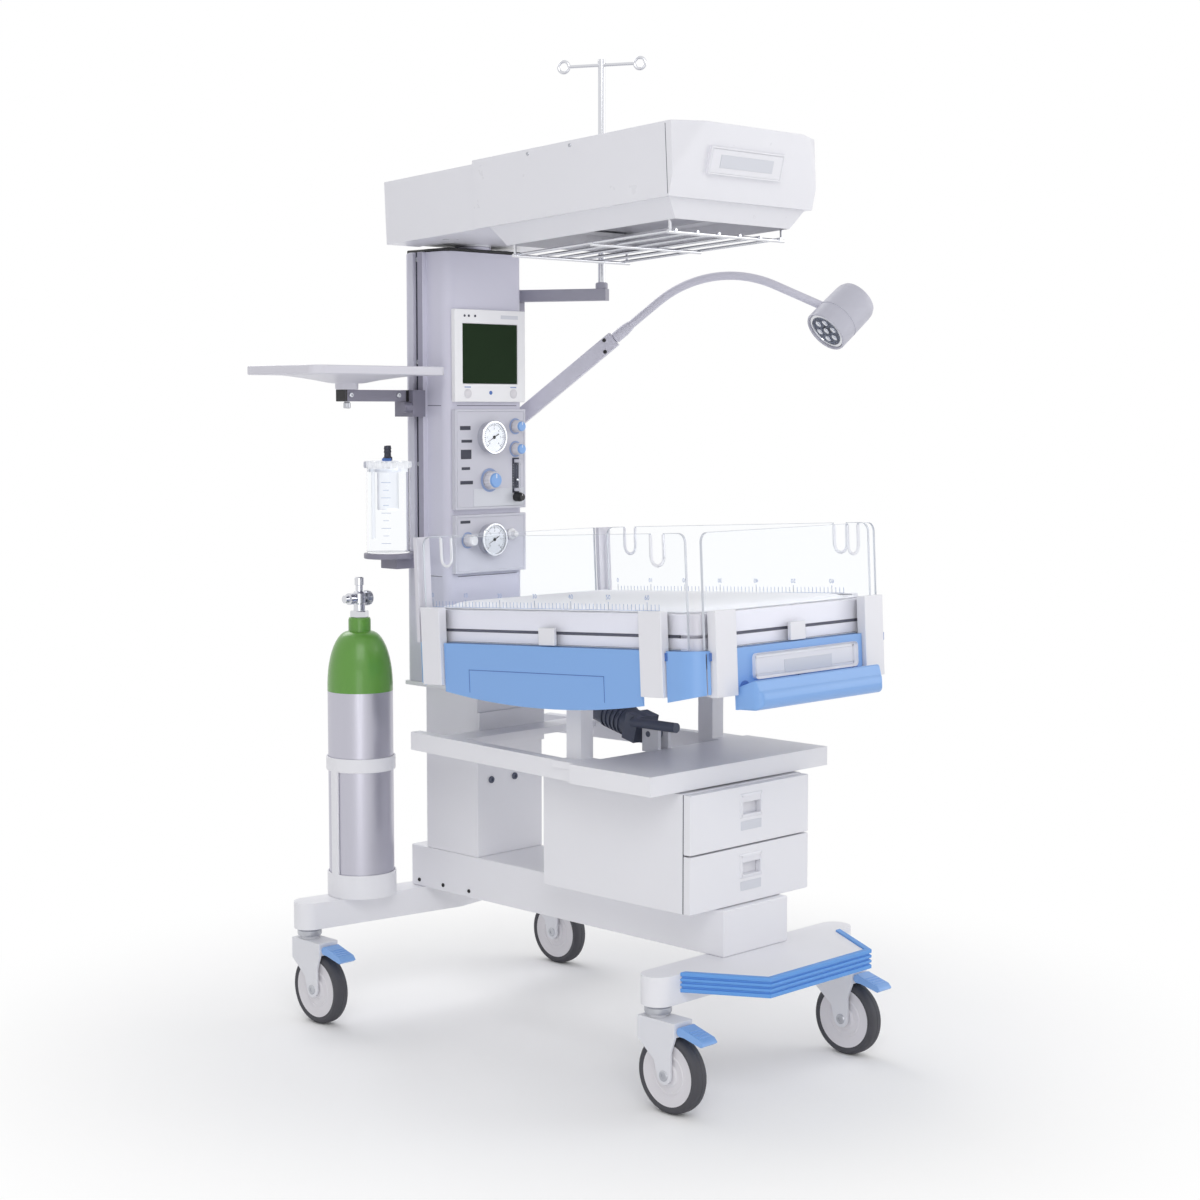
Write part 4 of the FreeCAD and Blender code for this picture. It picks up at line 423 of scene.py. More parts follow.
def turned(name, base, axis, rings, material, body, sides=40, place=None, hollow=False, flutes=0):
    """A turned piece: rings of (radius, height) about an axis from a base point, hollow where they close."""
    clean_selection()
    radius, start = rings[0]
    fill = "NOTHING" if hollow else "NGON"
    bpy.ops.mesh.primitive_circle_add(vertices=sides, radius=radius, fill_type=fill, location=(0, 0, start))
    bake_place()
    bpy.ops.object.mode_set(mode="EDIT")
    bpy.ops.mesh.select_all(action="SELECT")
    for (_, height), (wider, higher) in zip(rings, rings[1:]):
        bpy.ops.mesh.extrude_region_move(TRANSFORM_OT_translate={"value": (0, 0, higher - height)})
        if wider != radius:
            share = wider / radius
            bpy.ops.transform.resize(value=(share, share, 1), center_override=(0, 0, higher))
            radius = wider
    bpy.ops.mesh.select_all(action="SELECT")
    bpy.ops.mesh.remove_doubles(threshold=0.000005)
    bpy.ops.mesh.normals_make_consistent(inside=False)
    if flutes:
        rim = 0.95 * max(ring[0] for ring in rings)
        pitch = math.tau / flutes
        edit_selection(
            "verts",
            lambda vert: vert.co.xy.length > rim and math.atan2(vert.co.y, vert.co.x) % pitch < pitch / 2,
        )
        bpy.ops.transform.resize(value=(0.93, 0.93, 1), center_override=(0, 0, 0))
    bpy.ops.object.mode_set(mode="OBJECT")
    stand = facing(base, axis)
    return settle(name, material, body, stand if place is None else place @ stand)


def turned_ring(name, base, axis, section, material, body, sides):
    """A turned ring with a closed section."""
    return turned(name, base, axis, section + section[:1], material, body, sides, hollow=True)


def dished(name, low, high, margin, depth, material, body, bevel=0.001, place=None, corner=0.0):
    """A plate whose front face (towards -Y) is sunk inside a narrow rim, its corners rounded if asked."""
    cube(low, high)
    thickness = high[1] - low[1]
    bpy.ops.object.mode_set(mode="EDIT")
    if corner:
        edit_selection("edges", lambda edge: abs(edge.verts[0].co.y - edge.verts[1].co.y) > 0.5 * thickness)
        bpy.ops.mesh.bevel(offset=corner, segments=5, affect="EDGES")
    edit_selection("faces", lambda face: face.normal.y < -0.9)
    bpy.ops.mesh.inset(thickness=margin)
    bpy.ops.mesh.extrude_region_move(TRANSFORM_OT_translate={"value": (0, depth, 0)})
    bpy.ops.mesh.select_all(action="SELECT")
    bpy.ops.mesh.normals_make_consistent(inside=False)
    bpy.ops.mesh.select_all(action="DESELECT")
    bpy.ops.mesh.edges_select_sharp(sharpness=math.radians(50))
    bpy.ops.mesh.bevel(offset=bevel, segments=2, affect="EDGES")
    bpy.ops.object.mode_set(mode="OBJECT")
    return settle(name, material, body, place)


def another(piece, name, shift, body, material=None):
    """A copy of a finished piece with its own mesh, moved, riding its own body and finished anew if asked."""
    pick(piece)
    bpy.ops.object.duplicate()
    copy = bpy.context.active_object
    for mark in [key for key in copy.keys() if key.startswith("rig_")]:
        del copy[mark]
    copy.parent = None
    copy.matrix_world = shift
    bake_place()
    copy.name = name
    copy.data.name = name
    if material is not None:
        copy.data.materials[0] = material
    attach(copy, body)
    return copy


def lettered(name, digits, size, spot, material, body, place=None):
    """Small printed digits standing in the plane that faces -Y."""
    clean_selection()
    bpy.ops.object.text_add(location=(0, 0, 0))
    words = bpy.context.active_object
    words.data.body = digits
    words.data.size = size
    words.data.align_x = "CENTER"
    words.data.align_y = "CENTER"
    words.data.extrude = 0.00008
    words.data.resolution_u = 3
    bpy.ops.object.convert(target="MESH")
    stand = Matrix.Translation(Vector(spot)) @ Matrix.Rotation(math.pi / 2, 4, "X")
    return settle(name, material, body, stand if place is None else place @ stand)


def cad_copy(node):
    """A copy of a CAD piece with its own mesh, its doubles merged and its flat faces whole."""
    pick(NODES[node])
    bpy.ops.object.duplicate()
    piece = bpy.context.active_object
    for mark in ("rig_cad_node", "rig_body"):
        del piece[mark]
    piece.parent = None
    bpy.ops.object.mode_set(mode="EDIT")
    bpy.ops.mesh.select_all(action="SELECT")
    bpy.ops.mesh.remove_doubles(threshold=0.00001)
    bpy.ops.mesh.dissolve_limited(angle_limit=math.radians(0.5))
    bpy.ops.object.mode_set(mode="OBJECT")
    return piece


def trimmed(piece, low, high):
    """A box-shaped part, given in the bed's frame, cut off a piece."""
    clean_selection()
    low, high = Vector(low), Vector(high)
    bpy.ops.mesh.primitive_cube_add(size=1)
    cutter = bpy.context.active_object
    cutter.matrix_world = BED @ Matrix.Translation((low + high) / 2) @ Matrix.Diagonal((*(high - low), 1))
    pick(piece)
    trimming = piece.modifiers.new("Trimming", "BOOLEAN")
    trimming.operation = "DIFFERENCE"
    trimming.object = cutter
    bpy.ops.object.modifier_apply(modifier="Trimming")
    bpy.data.objects.remove(cutter)


SEAT_ROOM = 0.0004
PIN_RADIUS, PIN_SHRINK = 0.021, 0.7


def running_room(pivot):
    """Let the seat of an upright swivel down a little and draw in its pin."""
    bpy.ops.object.mode_set(mode="EDIT")
    edit_selection("verts", lambda vert: abs(vert.co.z - pivot.z) < 0.0001)
    bpy.ops.transform.translate(value=(0, 0, -SEAT_ROOM))
    edit_selection(
        "verts",
        lambda vert: vert.co.z > pivot.z - 0.001 and (vert.co - pivot).xy.length < PIN_RADIUS,
    )
    bpy.ops.transform.resize(value=(PIN_SHRINK, PIN_SHRINK, 1), center_override=pivot)
    bpy.ops.object.mode_set(mode="OBJECT")


def rounded(piece, width, segments, angle):
    """Round the edges of the active piece that are sharper than an angle."""
    rounding = piece.modifiers.new("Rounding", "BEVEL")
    rounding.width = width
    rounding.segments = segments
    rounding.limit_method = "ANGLE"
    rounding.angle_limit = math.radians(angle)
    rounding.use_clamp_overlap = True
    bpy.ops.object.modifier_apply(modifier="Rounding")


def softened(node, width, material, segments=2, angle=35.0, trim=None, swivel=None):
    """A CAD piece with its sharp edges rounded, standing for it."""
    piece = cad_copy(node)
    if trim:
        trimmed(piece, *trim)
    if swivel:
        running_room(swivel)
    rounded(piece, width, segments, angle)
    settle(node + "_finished", material, BODY_OF[node])
    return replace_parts(piece, node)


def rim_of(node, way, material):
    """The narrow edge faces of a clear sheet, drawn as a thin opaque rim whose pale colour is painted
    highlight.
    """
    piece = cad_copy(node)
    bpy.ops.object.mode_set(mode="EDIT")
    bpy.ops.mesh.select_mode(type="FACE")
    edit_selection("faces", lambda face: abs(face.normal.dot(way)) > 0.7)
    bpy.ops.mesh.delete(type="FACE")
    bpy.ops.mesh.select_mode(type="VERT")
    bpy.ops.object.mode_set(mode="OBJECT")
    skin = piece.modifiers.new("Skin", "SOLIDIFY")
    skin.thickness = 0.0012
    skin.offset = -0.8
    bpy.ops.object.modifier_apply(modifier="Skin")
    return settle(node + "_rim", material, BODY_OF[node])


def tube(name, points, radius, material, body, place=None, order=3, sides=6, closed=False):
    """A round bar or wire along a smooth line."""
    line = bpy.data.curves.new(name, "CURVE")
    line.dimensions = "3D"
    line.bevel_depth = radius
    line.bevel_resolution = sides
    line.use_fill_caps = True
    line.resolution_u = 10
    spline = line.splines.new("NURBS")
    spline.points.add(len(points) - 1)
    for point, spot in zip(spline.points, points):
        point.co = (*spot, 1)
    spline.use_cyclic_u = closed
    spline.use_endpoint_u = not closed
    spline.order_u = order
    piece = bpy.data.objects.new(name, line)
    bpy.context.scene.collection.objects.link(piece)
    pick(piece)
    bpy.ops.object.convert(target="MESH")
    return settle(name, material, body, place, 50.0)


def joined(name, pieces):
    """Several finished pieces of one body and finish made one object."""
    clean_selection()
    for piece in pieces:
        piece.select_set(True)
    bpy.context.view_layer.objects.active = pieces[0]
    bpy.ops.object.join()
    pieces[0].name = name
    pieces[0].data.name = name
    return pieces[0]


def repeated(name, piece, places, body):
    """A piece modelled at the first of several places, copied to the others and made one object."""
    back = places[0].inverted()
    copies = []
    for index, place in enumerate(places[1:], 1):
        copies.append(another(piece, f"{name}_{index}", place @ back, body))
    return joined(name, [piece, *copies])


def shifts(spots):
    """Plain moves to a row of spots."""
    return [Matrix.Translation(Vector(spot)) for spot in spots]


def both_sides(near, far, depths, heights):
    """Corners of a box between two distances from the mid-plane, on the left and on the right."""
    boxes = []
    for side in SIDES:
        left, right = sorted((side * near, side * far))
        boxes.append(((left, depths[0], heights[0]), (right, depths[1], heights[1])))
    return boxes


def blocks(name, boxes, material, body, bevel, segments=1, place=None):
    """Several boxes of one body and finish made one object."""
    pieces = []
    for index, (low, high) in enumerate(boxes):
        pieces.append(block(f"{name}_{index}", low, high, material, body, bevel, segments, place))
    return joined(name, pieces)


def screws(name, places, radius, body, material=STEEL):
    """Cap screws with sockets, one at each place."""
    rings = (
        (radius, 0.0),
        (radius, radius * 0.35),
        (radius * 0.82, radius * 0.55),
        (radius * 0.5, radius * 0.55),
        (radius * 0.45, radius * 0.2),
    )
    first = turned(name, (0, 0, 0), UP, rings, material, body, 18, places[0])
    return repeated(name, first, places, body)


# Sheet metal, mouldings and clear sheets with rounded edges

SKIRT_X, SKIRT_Y = 0.282, 0.401
LEDGE_X, LEDGE_REACH, LEDGE_DROP = 0.185, 0.058, 0.021
LEDGE_LOW, LEDGE_CREST, LEDGE_OVERLAP = -0.026, 0.014, 0.004
LEDGE_BOX = (
    (-LEDGE_X - 0.005, -SKIRT_Y - 0.075, LEDGE_LOW - 0.006),
    (LEDGE_X + 0.005, -SKIRT_Y - 0.0002, 0.020),
)

for node in ("center_beam", "rear_legs", "front_platform", "cabinet_shell", "lower_column"):
    softened(node, 0.003, WHITE_PAINT)
# The upper column takes the darker copy of the white paint: painted shade
softened("upper_column", 0.003, COLUMN_SHADE_PAINT, swivel=HOOD_PIVOT)
for node in ("bed_support_frame", "drawer_upper", "drawer_lower", "cylinder_holder"):
    softened(node, 0.002, WHITE_PAINT)
softened("platform_bumper", 0.0012, BLUE_RUBBER)
for node in ("bed_base", "mattress_tray"):
    softened(node, 0.004, BED_MOULDING, 3)
for node in ("fittings_left", "fittings_right", "fittings_front"):
    softened(node, 0.004, WHITE_PLASTIC, 3)
softened("bed_skirt", 0.003, BLUE_PLASTIC, 3, trim=LEDGE_BOX)
for node in ("panel_left", "panel_right", "panel_front", "panel_rear"):
    # Pale opaque rim round each clear sheet: painted highlight of its edges
    rim_of(node, BED.col[0].xyz if node in ("panel_left", "panel_right") else BED.col[1].xyz, SHEET_EDGE_HIGHLIGHT)
    softened(node, 0.0008, ACRYLIC)
softened("hood_shell", 0.004, WHITE_PLASTIC, 3)
softened("tray_plate", 0.003, BED_MOULDING, 3)
for mark in MARKS:
    softened(f"caster_fork_{mark}", 0.003, FORK_GREY, 3)
    softened(f"pedal_{mark}", 0.002, BLUE_PLASTIC)
for node in ("arm_brackets", "iv_arm"):
    softened(node, 0.002, ARM_GREY)
softened("tray_arm", 0.002, CLAMP_GREY)
softened("lamp_arm", 0.003, LAMP_GREY)
softened("actuator_motor", 0.0015, MOTOR_GREY)
softened("actuator_rod", 0.001, CHROME)
softened("jar_holder", 0.002, CLAMP_GREY)
softened("controller_panel", 0.002, BEZEL)

FINISHES = {
    "reflector": REFLECTOR,
    "heater_tube": QUARTZ,
    "guard_grille": CHROME,
    "iv_pole": CHROME,
    "gooseneck": LAMP_GREY,
}
for node, material in FINISHES.items():
    NODES[node].data.materials.clear()
    NODES[node].data.materials.append(material)


# Casters

AXLE_REACH = 0.0245
RIB_RUNS = (0.020, 0.028, 0.036, 0.044)
PEDAL_CREST, PEDAL_FALL = 0.0089, 0.275


def half_section(points):
    """A profile given for one side, carried over to the other."""
    there = [(radius, -side) for radius, side in points]
    back = [(radius, side) for radius, side in reversed(points)]
    return there + back


def caster_details(mark):
    """Tyre, dished hub, axle caps, swivel ring and the ribs of the pedal, each with the body it rides."""
    wheel, caster, pedal = f"wheel_{mark}", f"caster_{mark}", f"pedal_{mark}"
    hub_spot = joint_spot(f"wheel_spin_{mark}")
    tread = half_section((
        (0.0600, 0.0150), (0.0650, 0.0163), (0.0680, 0.0170), (0.0715, 0.0152),
        (0.0742, 0.0115), (0.0750, 0.0070), (0.0750, 0.0014), (0.0743, 0.0006),
    ))
    tyre = turned_ring(f"tyre_{mark}", hub_spot, RIGHT, tread, TYRE, wheel, 64)
    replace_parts(tyre, wheel)
    disc = half_section((
        (0.0100, 0.0170), (0.0215, 0.0170), (0.0232, 0.0156), (0.0250, 0.0140),
        (0.0330, 0.0135), (0.0345, 0.0148), (0.0385, 0.0148), (0.0400, 0.0135),
        (0.0540, 0.0135), (0.0570, 0.0152), (0.0605, 0.0152), (0.0605, 0.0100),
    ))
    hub = turned(f"hub_{mark}", hub_spot, RIGHT, disc, HUB_GREY, wheel, 64)
    rings = (0.0105, 0.0), (0.0105, 0.0012), (0.0085, 0.0026), (0.0040, 0.0026), (0.0036, 0.0014)
    ends = [facing(hub_spot + Vector((side * AXLE_REACH, 0, 0)), (side, 0, 0)) for side in SIDES]
    cap = turned(f"axle_cap_{mark}", ends[0].translation, LEFT, rings, STEEL, caster, 24)
    caps = repeated(f"axle_caps_{mark}", cap, ends, caster)
    section = (
        (0.0200, -0.016), (0.0245, -0.016), (0.0260, -0.013),
        (0.0260, -0.005), (0.0240, -0.002), (0.0200, -0.002),
    )
    swivel = joint_spot(f"caster_swivel_{mark}")
    ring = turned_ring(f"swivel_ring_{mark}", swivel, UP, section, STEEL, caster, 40)
    hinge = joint_spot(f"pedal_lift_{mark}")
    spots = [hinge + Vector((0, -run, PEDAL_CREST - run * PEDAL_FALL)) for run in RIB_RUNS]
    low, high = spots[0] - Vector((0.016, 0.0016, 0.002)), spots[0] + Vector((0.016, 0.0016, 0.0013))
    rib = block(f"pedal_rib_{mark}", low, high, BLUE_PLASTIC, pedal, 0.0007, 2)
    ribs = repeated(f"pedal_ribs_{mark}", rib, shifts(spots), pedal)
    return {
        "tyre": (tyre, "wheel"),
        "hub": (hub, "wheel"),
        "axle_caps": (caps, "caster"),
        "swivel_ring": (ring, "caster"),
        "pedal_ribs": (ribs, "pedal"),
    }


first_caster = caster_details(MARKS[0])
for mark in MARKS[1:]:
    move = Matrix.Translation(joint_spot(f"caster_swivel_{mark}") - joint_spot(f"caster_swivel_{MARKS[0]}"))
    for label, (piece, carrier) in first_caster.items():
        copy = another(piece, f"{label}_{mark}", move, f"{carrier}_{mark}")
        if label == "tyre":
            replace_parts(copy, f"wheel_{mark}")


# Base, columns and cabinet

BEAM_SCREW_LIFT, BEAM_SCREW_RUNS = 0.014, (0.241, 0.325, 0.404)
COLUMN_BOLT_LEVELS, COLUMN_BOLT_X = (0.648, 0.512), (-0.056, 0.012)
DRAWER_GAP_LIFT, DRAWER_GAP_TOP = 0.093, 0.5780
RAIL_HEIGHTS, RAIL_MIDDLE, RAIL_SLOT = (0.9005, 1.6335), 0.372, (0.3655, 0.3785)
# Faces beside the rails' slots; the front ones take the darker grey of painted shade
RAIL_FACES = (
    ("rail_front_faces", (0.3497, 0.3647), RAIL_PAINTED_SHADE),
    ("rail_rear_faces", (0.3793, 0.3943), RAIL_GREY),
)
RAIL_SCREW_LEVELS = [0.968 + 0.217 * index for index in range(4)]
COLUMN_FRONT, COLUMN_REAR, COLUMN_HALF = 0.281, 0.430, 0.110
COLUMN_SEAM_LEVELS, SEAM_HALF, SEAM_MARGIN, SIDE_SEAM_END = (0.9455, 1.3095), 0.0007, 0.024, 0.349
GASKET = (-0.1045, 0.2835, 1.6338), (0.1045, 0.4200, 1.6412)


def base_fasteners():
    """Screws along the beam and bolts in the column's foot."""
    low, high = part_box("center_beam")
    places = []
    for run in BEAM_SCREW_RUNS:
        places += [facing((side * high.x, run, low.z + BEAM_SCREW_LIFT), (side, 0, 0)) for side in SIDES]
    screws("beam_screws", places, 0.0042, "base", BLACK)
    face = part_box("lower_column")[0].y
    places = [facing((x, face, level), FRONT) for level in COLUMN_BOLT_LEVELS for x in COLUMN_BOLT_X]
    screws("column_bolts", places, 0.0075, "base", MOTOR_GREY)


def drawer_gaps():
    """Painted shade in the gaps at the sides of the drawers."""
    face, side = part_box("cabinet_shell")[0].y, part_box("cabinet_shell")[1].x
    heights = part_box("center_beam")[0].z + DRAWER_GAP_LIFT, DRAWER_GAP_TOP
    boxes = both_sides(side - 0.0022, side - 0.0006, (face - 0.0013, face + 0.0002), heights)
    blocks("drawer_gaps", boxes, SEAM, "base", 0.0002)


def rail_details():
    """Faces of the side rails, the front ones darker as painted shade, painted shade on the floors of their
    slots and the screws in them.
    """
    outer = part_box("upper_column")[1].x
    for name, depths, finish in RAIL_FACES:
        boxes = both_sides(outer - 0.0006, outer + 0.0003, depths, RAIL_HEIGHTS)
        blocks(name, boxes, finish, "base", 0.0002)
    # Dark blocks on the floors of the slots: painted shade
    boxes = both_sides(outer - 0.0092, outer - 0.0072, RAIL_SLOT, RAIL_HEIGHTS)
    blocks("rail_slots", boxes, INK_AND_SHADE, "base", 0.0003)
    places = []
    for level in RAIL_SCREW_LEVELS:
        places += [facing((side * (outer - 0.0073), RAIL_MIDDLE, level), (side, 0, 0)) for side in SIDES]
    screws("rail_screws", places, 0.0048, "base")


def column_details():
    """Seams round the column and the gasket under the hood."""
    boxes = []
    inner = COLUMN_HALF - SEAM_MARGIN
    for level in COLUMN_SEAM_LEVELS:
        low, high = level - SEAM_HALF, level + SEAM_HALF
        depths = COLUMN_FRONT + SEAM_MARGIN, SIDE_SEAM_END
        boxes += both_sides(COLUMN_HALF - 0.0010, COLUMN_HALF + 0.0002, depths, (low, high))
        boxes.append(((-inner, COLUMN_FRONT - 0.0002, low), (inner, COLUMN_FRONT + 0.001, high)))
        boxes.append(((-inner, COLUMN_REAR - 0.001, low), (inner, COLUMN_REAR + 0.0002, high)))
    blocks("column_seams", boxes, SEAM, "base", 0.0001)
    block("column_gasket", *GASKET, BLACK, "base", 0.0025, 3)


base_fasteners()
drawer_gaps()
rail_details()
column_details()

PULL_DROP = 0.038
LOWER_DRAWER_TOP = 0.4605


def drawer_details():
    """Cup pulls with a lip and a small blank plate under each."""
    low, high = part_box("drawer_upper")
    face, middle = low.y, high.z - PULL_DROP
    near, far = (-0.0335, face - 0.0022, middle - 0.0245), (0.0335, face + 0.0128, middle + 0.0245)
    body = "drawer_upper"
    cup = dished("pull_cup_upper", near, far, 0.0050, 0.0125, WHITE_PLASTIC, body, 0.0009, corner=0.004)
    near, far = (-0.0285, face - 0.0015, middle + 0.0065), (0.0285, face + 0.0030, middle + 0.0200)
    lip = block("pull_lip_upper", near, far, WHITE_PLASTIC, body, 0.0012)
    near, far = (-0.0300, face - 0.0012, middle - 0.0480), (0.0300, face + 0.0004, middle - 0.0300)
    plate = block("pull_plate_upper", near, far, PLATE, body, 0.0005, 2)
    drop = Matrix.Translation((0, 0, LOWER_DRAWER_TOP - PULL_DROP - middle))
    for label, piece in (("cup", cup), ("lip", lip), ("plate", plate)):
        another(piece, f"pull_{label}_lower", drop, "drawer_lower")


drawer_details()


# Modules on the column

GAUGE_START, GAUGE_STEP, GAUGE_TICKS = -135, 9, 31
TICKS_PER_DIGIT, GAUGE_DIGITS = 5, 7
CARD_FACE, TICK_REACH, DIGIT_REACH = 0.0168, 0.0285, 0.0185
NEEDLE_FACE, NEEDLE_TURN = 0.0176, -118
GAS_GAUGE, SUCTION_GAUGE_LEVEL = (-0.006, 1.242), 1.023


def gauge_scale(name, spot):
    """Ticks and digits printed on a gauge's card."""
    middle = Matrix.Translation(spot - Vector((0, CARD_FACE, 0)))
    turns = []
    for index in range(GAUGE_TICKS):
        turns.append(middle @ Matrix.Rotation(math.radians(GAUGE_START + GAUGE_STEP * index), 4, "Y"))
    short_turns = [turn for index, turn in enumerate(turns) if index % TICKS_PER_DIGIT]
    marks = []
    for label, reach, width, places in (
        ("long", 0.0055, 0.0005, turns[::TICKS_PER_DIGIT]),
        ("short", 0.0032, 0.0003, short_turns),
    ):
        low, high = (-width, -0.0003, TICK_REACH - reach), (width, 0.0003, TICK_REACH)
        tick = block(f"{name}_{label}_tick", low, high, INK_AND_SHADE, "base", 0.00008, 1, places[0])
        marks.append(repeated(f"{name}_{label}_ticks", tick, places, "base"))
    for index in range(GAUGE_DIGITS):
        angle = math.radians(GAUGE_START + GAUGE_STEP * TICKS_PER_DIGIT * index)
        place = spot + Vector((math.sin(angle) * DIGIT_REACH, -CARD_FACE, math.cos(angle) * DIGIT_REACH))
        marks.append(lettered(f"{name}_digit_{index}", str(index), 0.0058, place, INK_AND_SHADE, "base"))
    return joined(f"{name}_scale", marks)


def gauge_needle(name, spot):
    """Tapering hand of a gauge."""
    cube((-0.0011, -0.0003, -0.0150), (0.0011, 0.0003, 0.0150))
    bpy.ops.object.mode_set(mode="EDIT")
    edit_selection("verts", lambda vert: vert.co.z > 0)
    bpy.ops.transform.translate(value=(0, 0, 0.0060))
    bpy.ops.transform.resize(value=(0.25, 1, 1), center_override=(0, 0, 0.021))
    bpy.ops.mesh.select_all(action="SELECT")
    bpy.ops.mesh.bevel(offset=0.00012, segments=1, affect="EDGES")
    bpy.ops.object.mode_set(mode="OBJECT")
    turn = Matrix.Rotation(math.radians(NEEDLE_TURN), 4, "Y")
    place = Matrix.Translation(spot - Vector((0, NEEDLE_FACE, 0))) @ turn
    return settle(f"{name}_needle", BLACK, "base", place)


def gauge(name, x, z):
    """Round gauge: rimmed case, printed card, needle and glass."""
    spot = Vector((x, FACE_Y, z))
    case = (
        (0.0330, 0.0), (0.0330, 0.0110), (0.0350, 0.0125), (0.0360, 0.0150),
        (0.0360, 0.0185), (0.0348, 0.0200), (0.0318, 0.0200), (0.0308, 0.0160),
    )
    card = (0.0304, 0.0161), (0.0304, 0.0166)
    pin = (0.0036, 0.0166), (0.0036, 0.0178), (0.0026, 0.0186)
    glass = (0.0314, 0.0188), (0.0314, 0.0196), (0.0300, 0.0199)
    return {
        "case": turned(f"{name}_case", spot, FRONT, case, CHROME, "base", 64),
        "card": turned(f"{name}_card", spot, FRONT, card, DIAL, "base", 64),
        "scale": gauge_scale(name, spot),
        "needle": gauge_needle(name, spot),
        "pin": turned(f"{name}_pin", spot, FRONT, pin, BLACK, "base", 24),
        "glass": turned(f"{name}_glass", spot, FRONT, glass, ACRYLIC, "base", 64),
    }


def knob(node, radius, depth, grip, cap):
    """Fluted knob with a coloured cap and a pointer."""
    body = BODY_OF[node]
    spot = joint_spot(f"{node}_turn") - Vector((0, 0.0003, 0))
    rings = (
        (radius * 0.80, 0.0),
        (radius * 0.98, 0.0008),
        (radius, 0.0018),
        (radius, depth * 0.62),
        (radius * 0.97, depth * 0.74),
        (radius * 0.86, depth * 0.80),
    )
    hold = turned(node + "_grip", spot, FRONT, rings, grip, body, 64, flutes=16)
    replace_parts(hold, node)
    rings = (
        (radius * 0.82, depth * 0.70),
        (radius * 0.82, depth * 0.90),
        (radius * 0.74, depth),
        (radius * 0.3, depth),
    )
    top = turned(node + "_cap", spot, FRONT, rings, cap, body, 40)
    low = spot + Vector((-radius * 0.06, -depth - 0.0003, radius * 0.25))
    high = spot + Vector((radius * 0.06, -depth + 0.001, radius * 0.72))
    pointer = block(node + "_pointer", low, high, BEZEL, body, 0.0002, 1)
    return {"grip": hold, "cap": top, "pointer": pointer}


def same_knob(pieces, first, node, cap):
    """A knob copied to another place, with its own cap colour."""
    move = Matrix.Translation(joint_spot(f"{node}_turn") - joint_spot(f"{first}_turn"))
    for label, piece in pieces.items():
        copy = another(piece, f"{node}_{label}", move, BODY_OF[node], cap if label == "cap" else None)
        if label == "grip":
            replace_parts(copy, node)


DISPLAY_HALF, DISPLAY_HEIGHTS = 0.0785, (1.3565, 1.4825)
KEY_X, KEY_LIFT, READY_LIFT = (-0.066, 0.066), 0.018, 0.020
ALARM_X, ALARM_DROP = (-0.074, -0.062, -0.044), 0.014


def controller_details():
    """Display, keys, lamps and a blank strip."""
    low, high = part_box("controller_panel")
    near = -DISPLAY_HALF, FACE_Y + 0.0012, DISPLAY_HEIGHTS[0]
    far = DISPLAY_HALF, FACE_Y + 0.0049, DISPLAY_HEIGHTS[1]
    block("display", near, far, SCREEN, "base", 0.0006, 2)
    spots = [(x, FACE_Y, low.z + KEY_LIFT) for x in KEY_X]
    rings = (
        (0.0100, 0.0), (0.0100, 0.0012), (0.0086, 0.0020),
        (0.0080, 0.0014), (0.0068, 0.0022), (0.0030, 0.0026),
    )
    key = turned("key", spots[0], FRONT, rings, HUB_GREY, "base", 32)
    repeated("keys", key, shifts(spots), "base")
    left = Vector(spots[0])
    near, far = left + Vector((-0.009, -0.0003, 0.0125)), left + Vector((0.009, 0.0004, 0.0150))
    repeated("key_strips", block("key_strip", near, far, PALE_INK, "base", 0.0001, 1), shifts(spots), "base")
    rings = (0.0042, 0.0), (0.0042, 0.0008), (0.0030, 0.0013)
    turned("ready_lamp", (0.0, FACE_Y, low.z + READY_LIFT), FRONT, rings, DEEP_BLUE_AND_SHADE, "base", 24)
    spots = [(x, FACE_Y, high.z - ALARM_DROP) for x in ALARM_X]
    rings = (0.0026, 0.0), (0.0026, 0.0008), (0.0018, 0.0013)
    lamp = turned("alarm_lamp", spots[0], FRONT, rings, INK_AND_SHADE, "base", 20)
    repeated("alarm_lamps", lamp, shifts(spots), "base")
    near, far = (0.030, FACE_Y - 0.0004, high.z - 0.0185), (0.080, FACE_Y + 0.0004, high.z - 0.0105)
    block("blank_strip", near, far, PLATE, "base", 0.0002, 1)


MODULE_HALF = 0.102
GAS_PLATE_HEIGHTS, SUCTION_PLATE_HEIGHTS = (1.088, 1.302), (0.952, 1.077)
KNOB_DEPTH = 0.022
KNOB_SCALES = {"air_knob": 0.0175, "oxygen_knob": 0.0175, "suction_knob": 0.0175, "mixer_knob": 0.0255}
FLOW_X, FLOW_Y, FLOW_BACKING_HALF = 0.072, FACE_Y - 0.0062, 0.0095
FLOW_BACKING_HEIGHTS, FLOW_END_LEVELS = (1.121, 1.197), (1.1245, 1.1865)
FLOW_TUBE_FOOT, FLOW_TUBE_LENGTH, FLOAT_LEVEL = 1.129, 0.060, 1.146
FLOW_TICK_FOOT, FLOW_TICK_PITCH, FLOW_TICKS = 1.138, 0.0055, 9
BLANK_MARKS = (
    (-0.088, -0.058, 1.262, 0.0085),
    (-0.084, -0.054, 1.234, 0.0060),
    (-0.086, -0.056, 1.206, 0.0200),
    (-0.084, -0.060, 1.176, 0.0060),
    (-0.088, -0.052, 1.146, 0.0075),
    (-0.088, -0.060, 1.062, 0.0060),
)
PORT_X, PORT_LEVEL = 0.058, 1.032


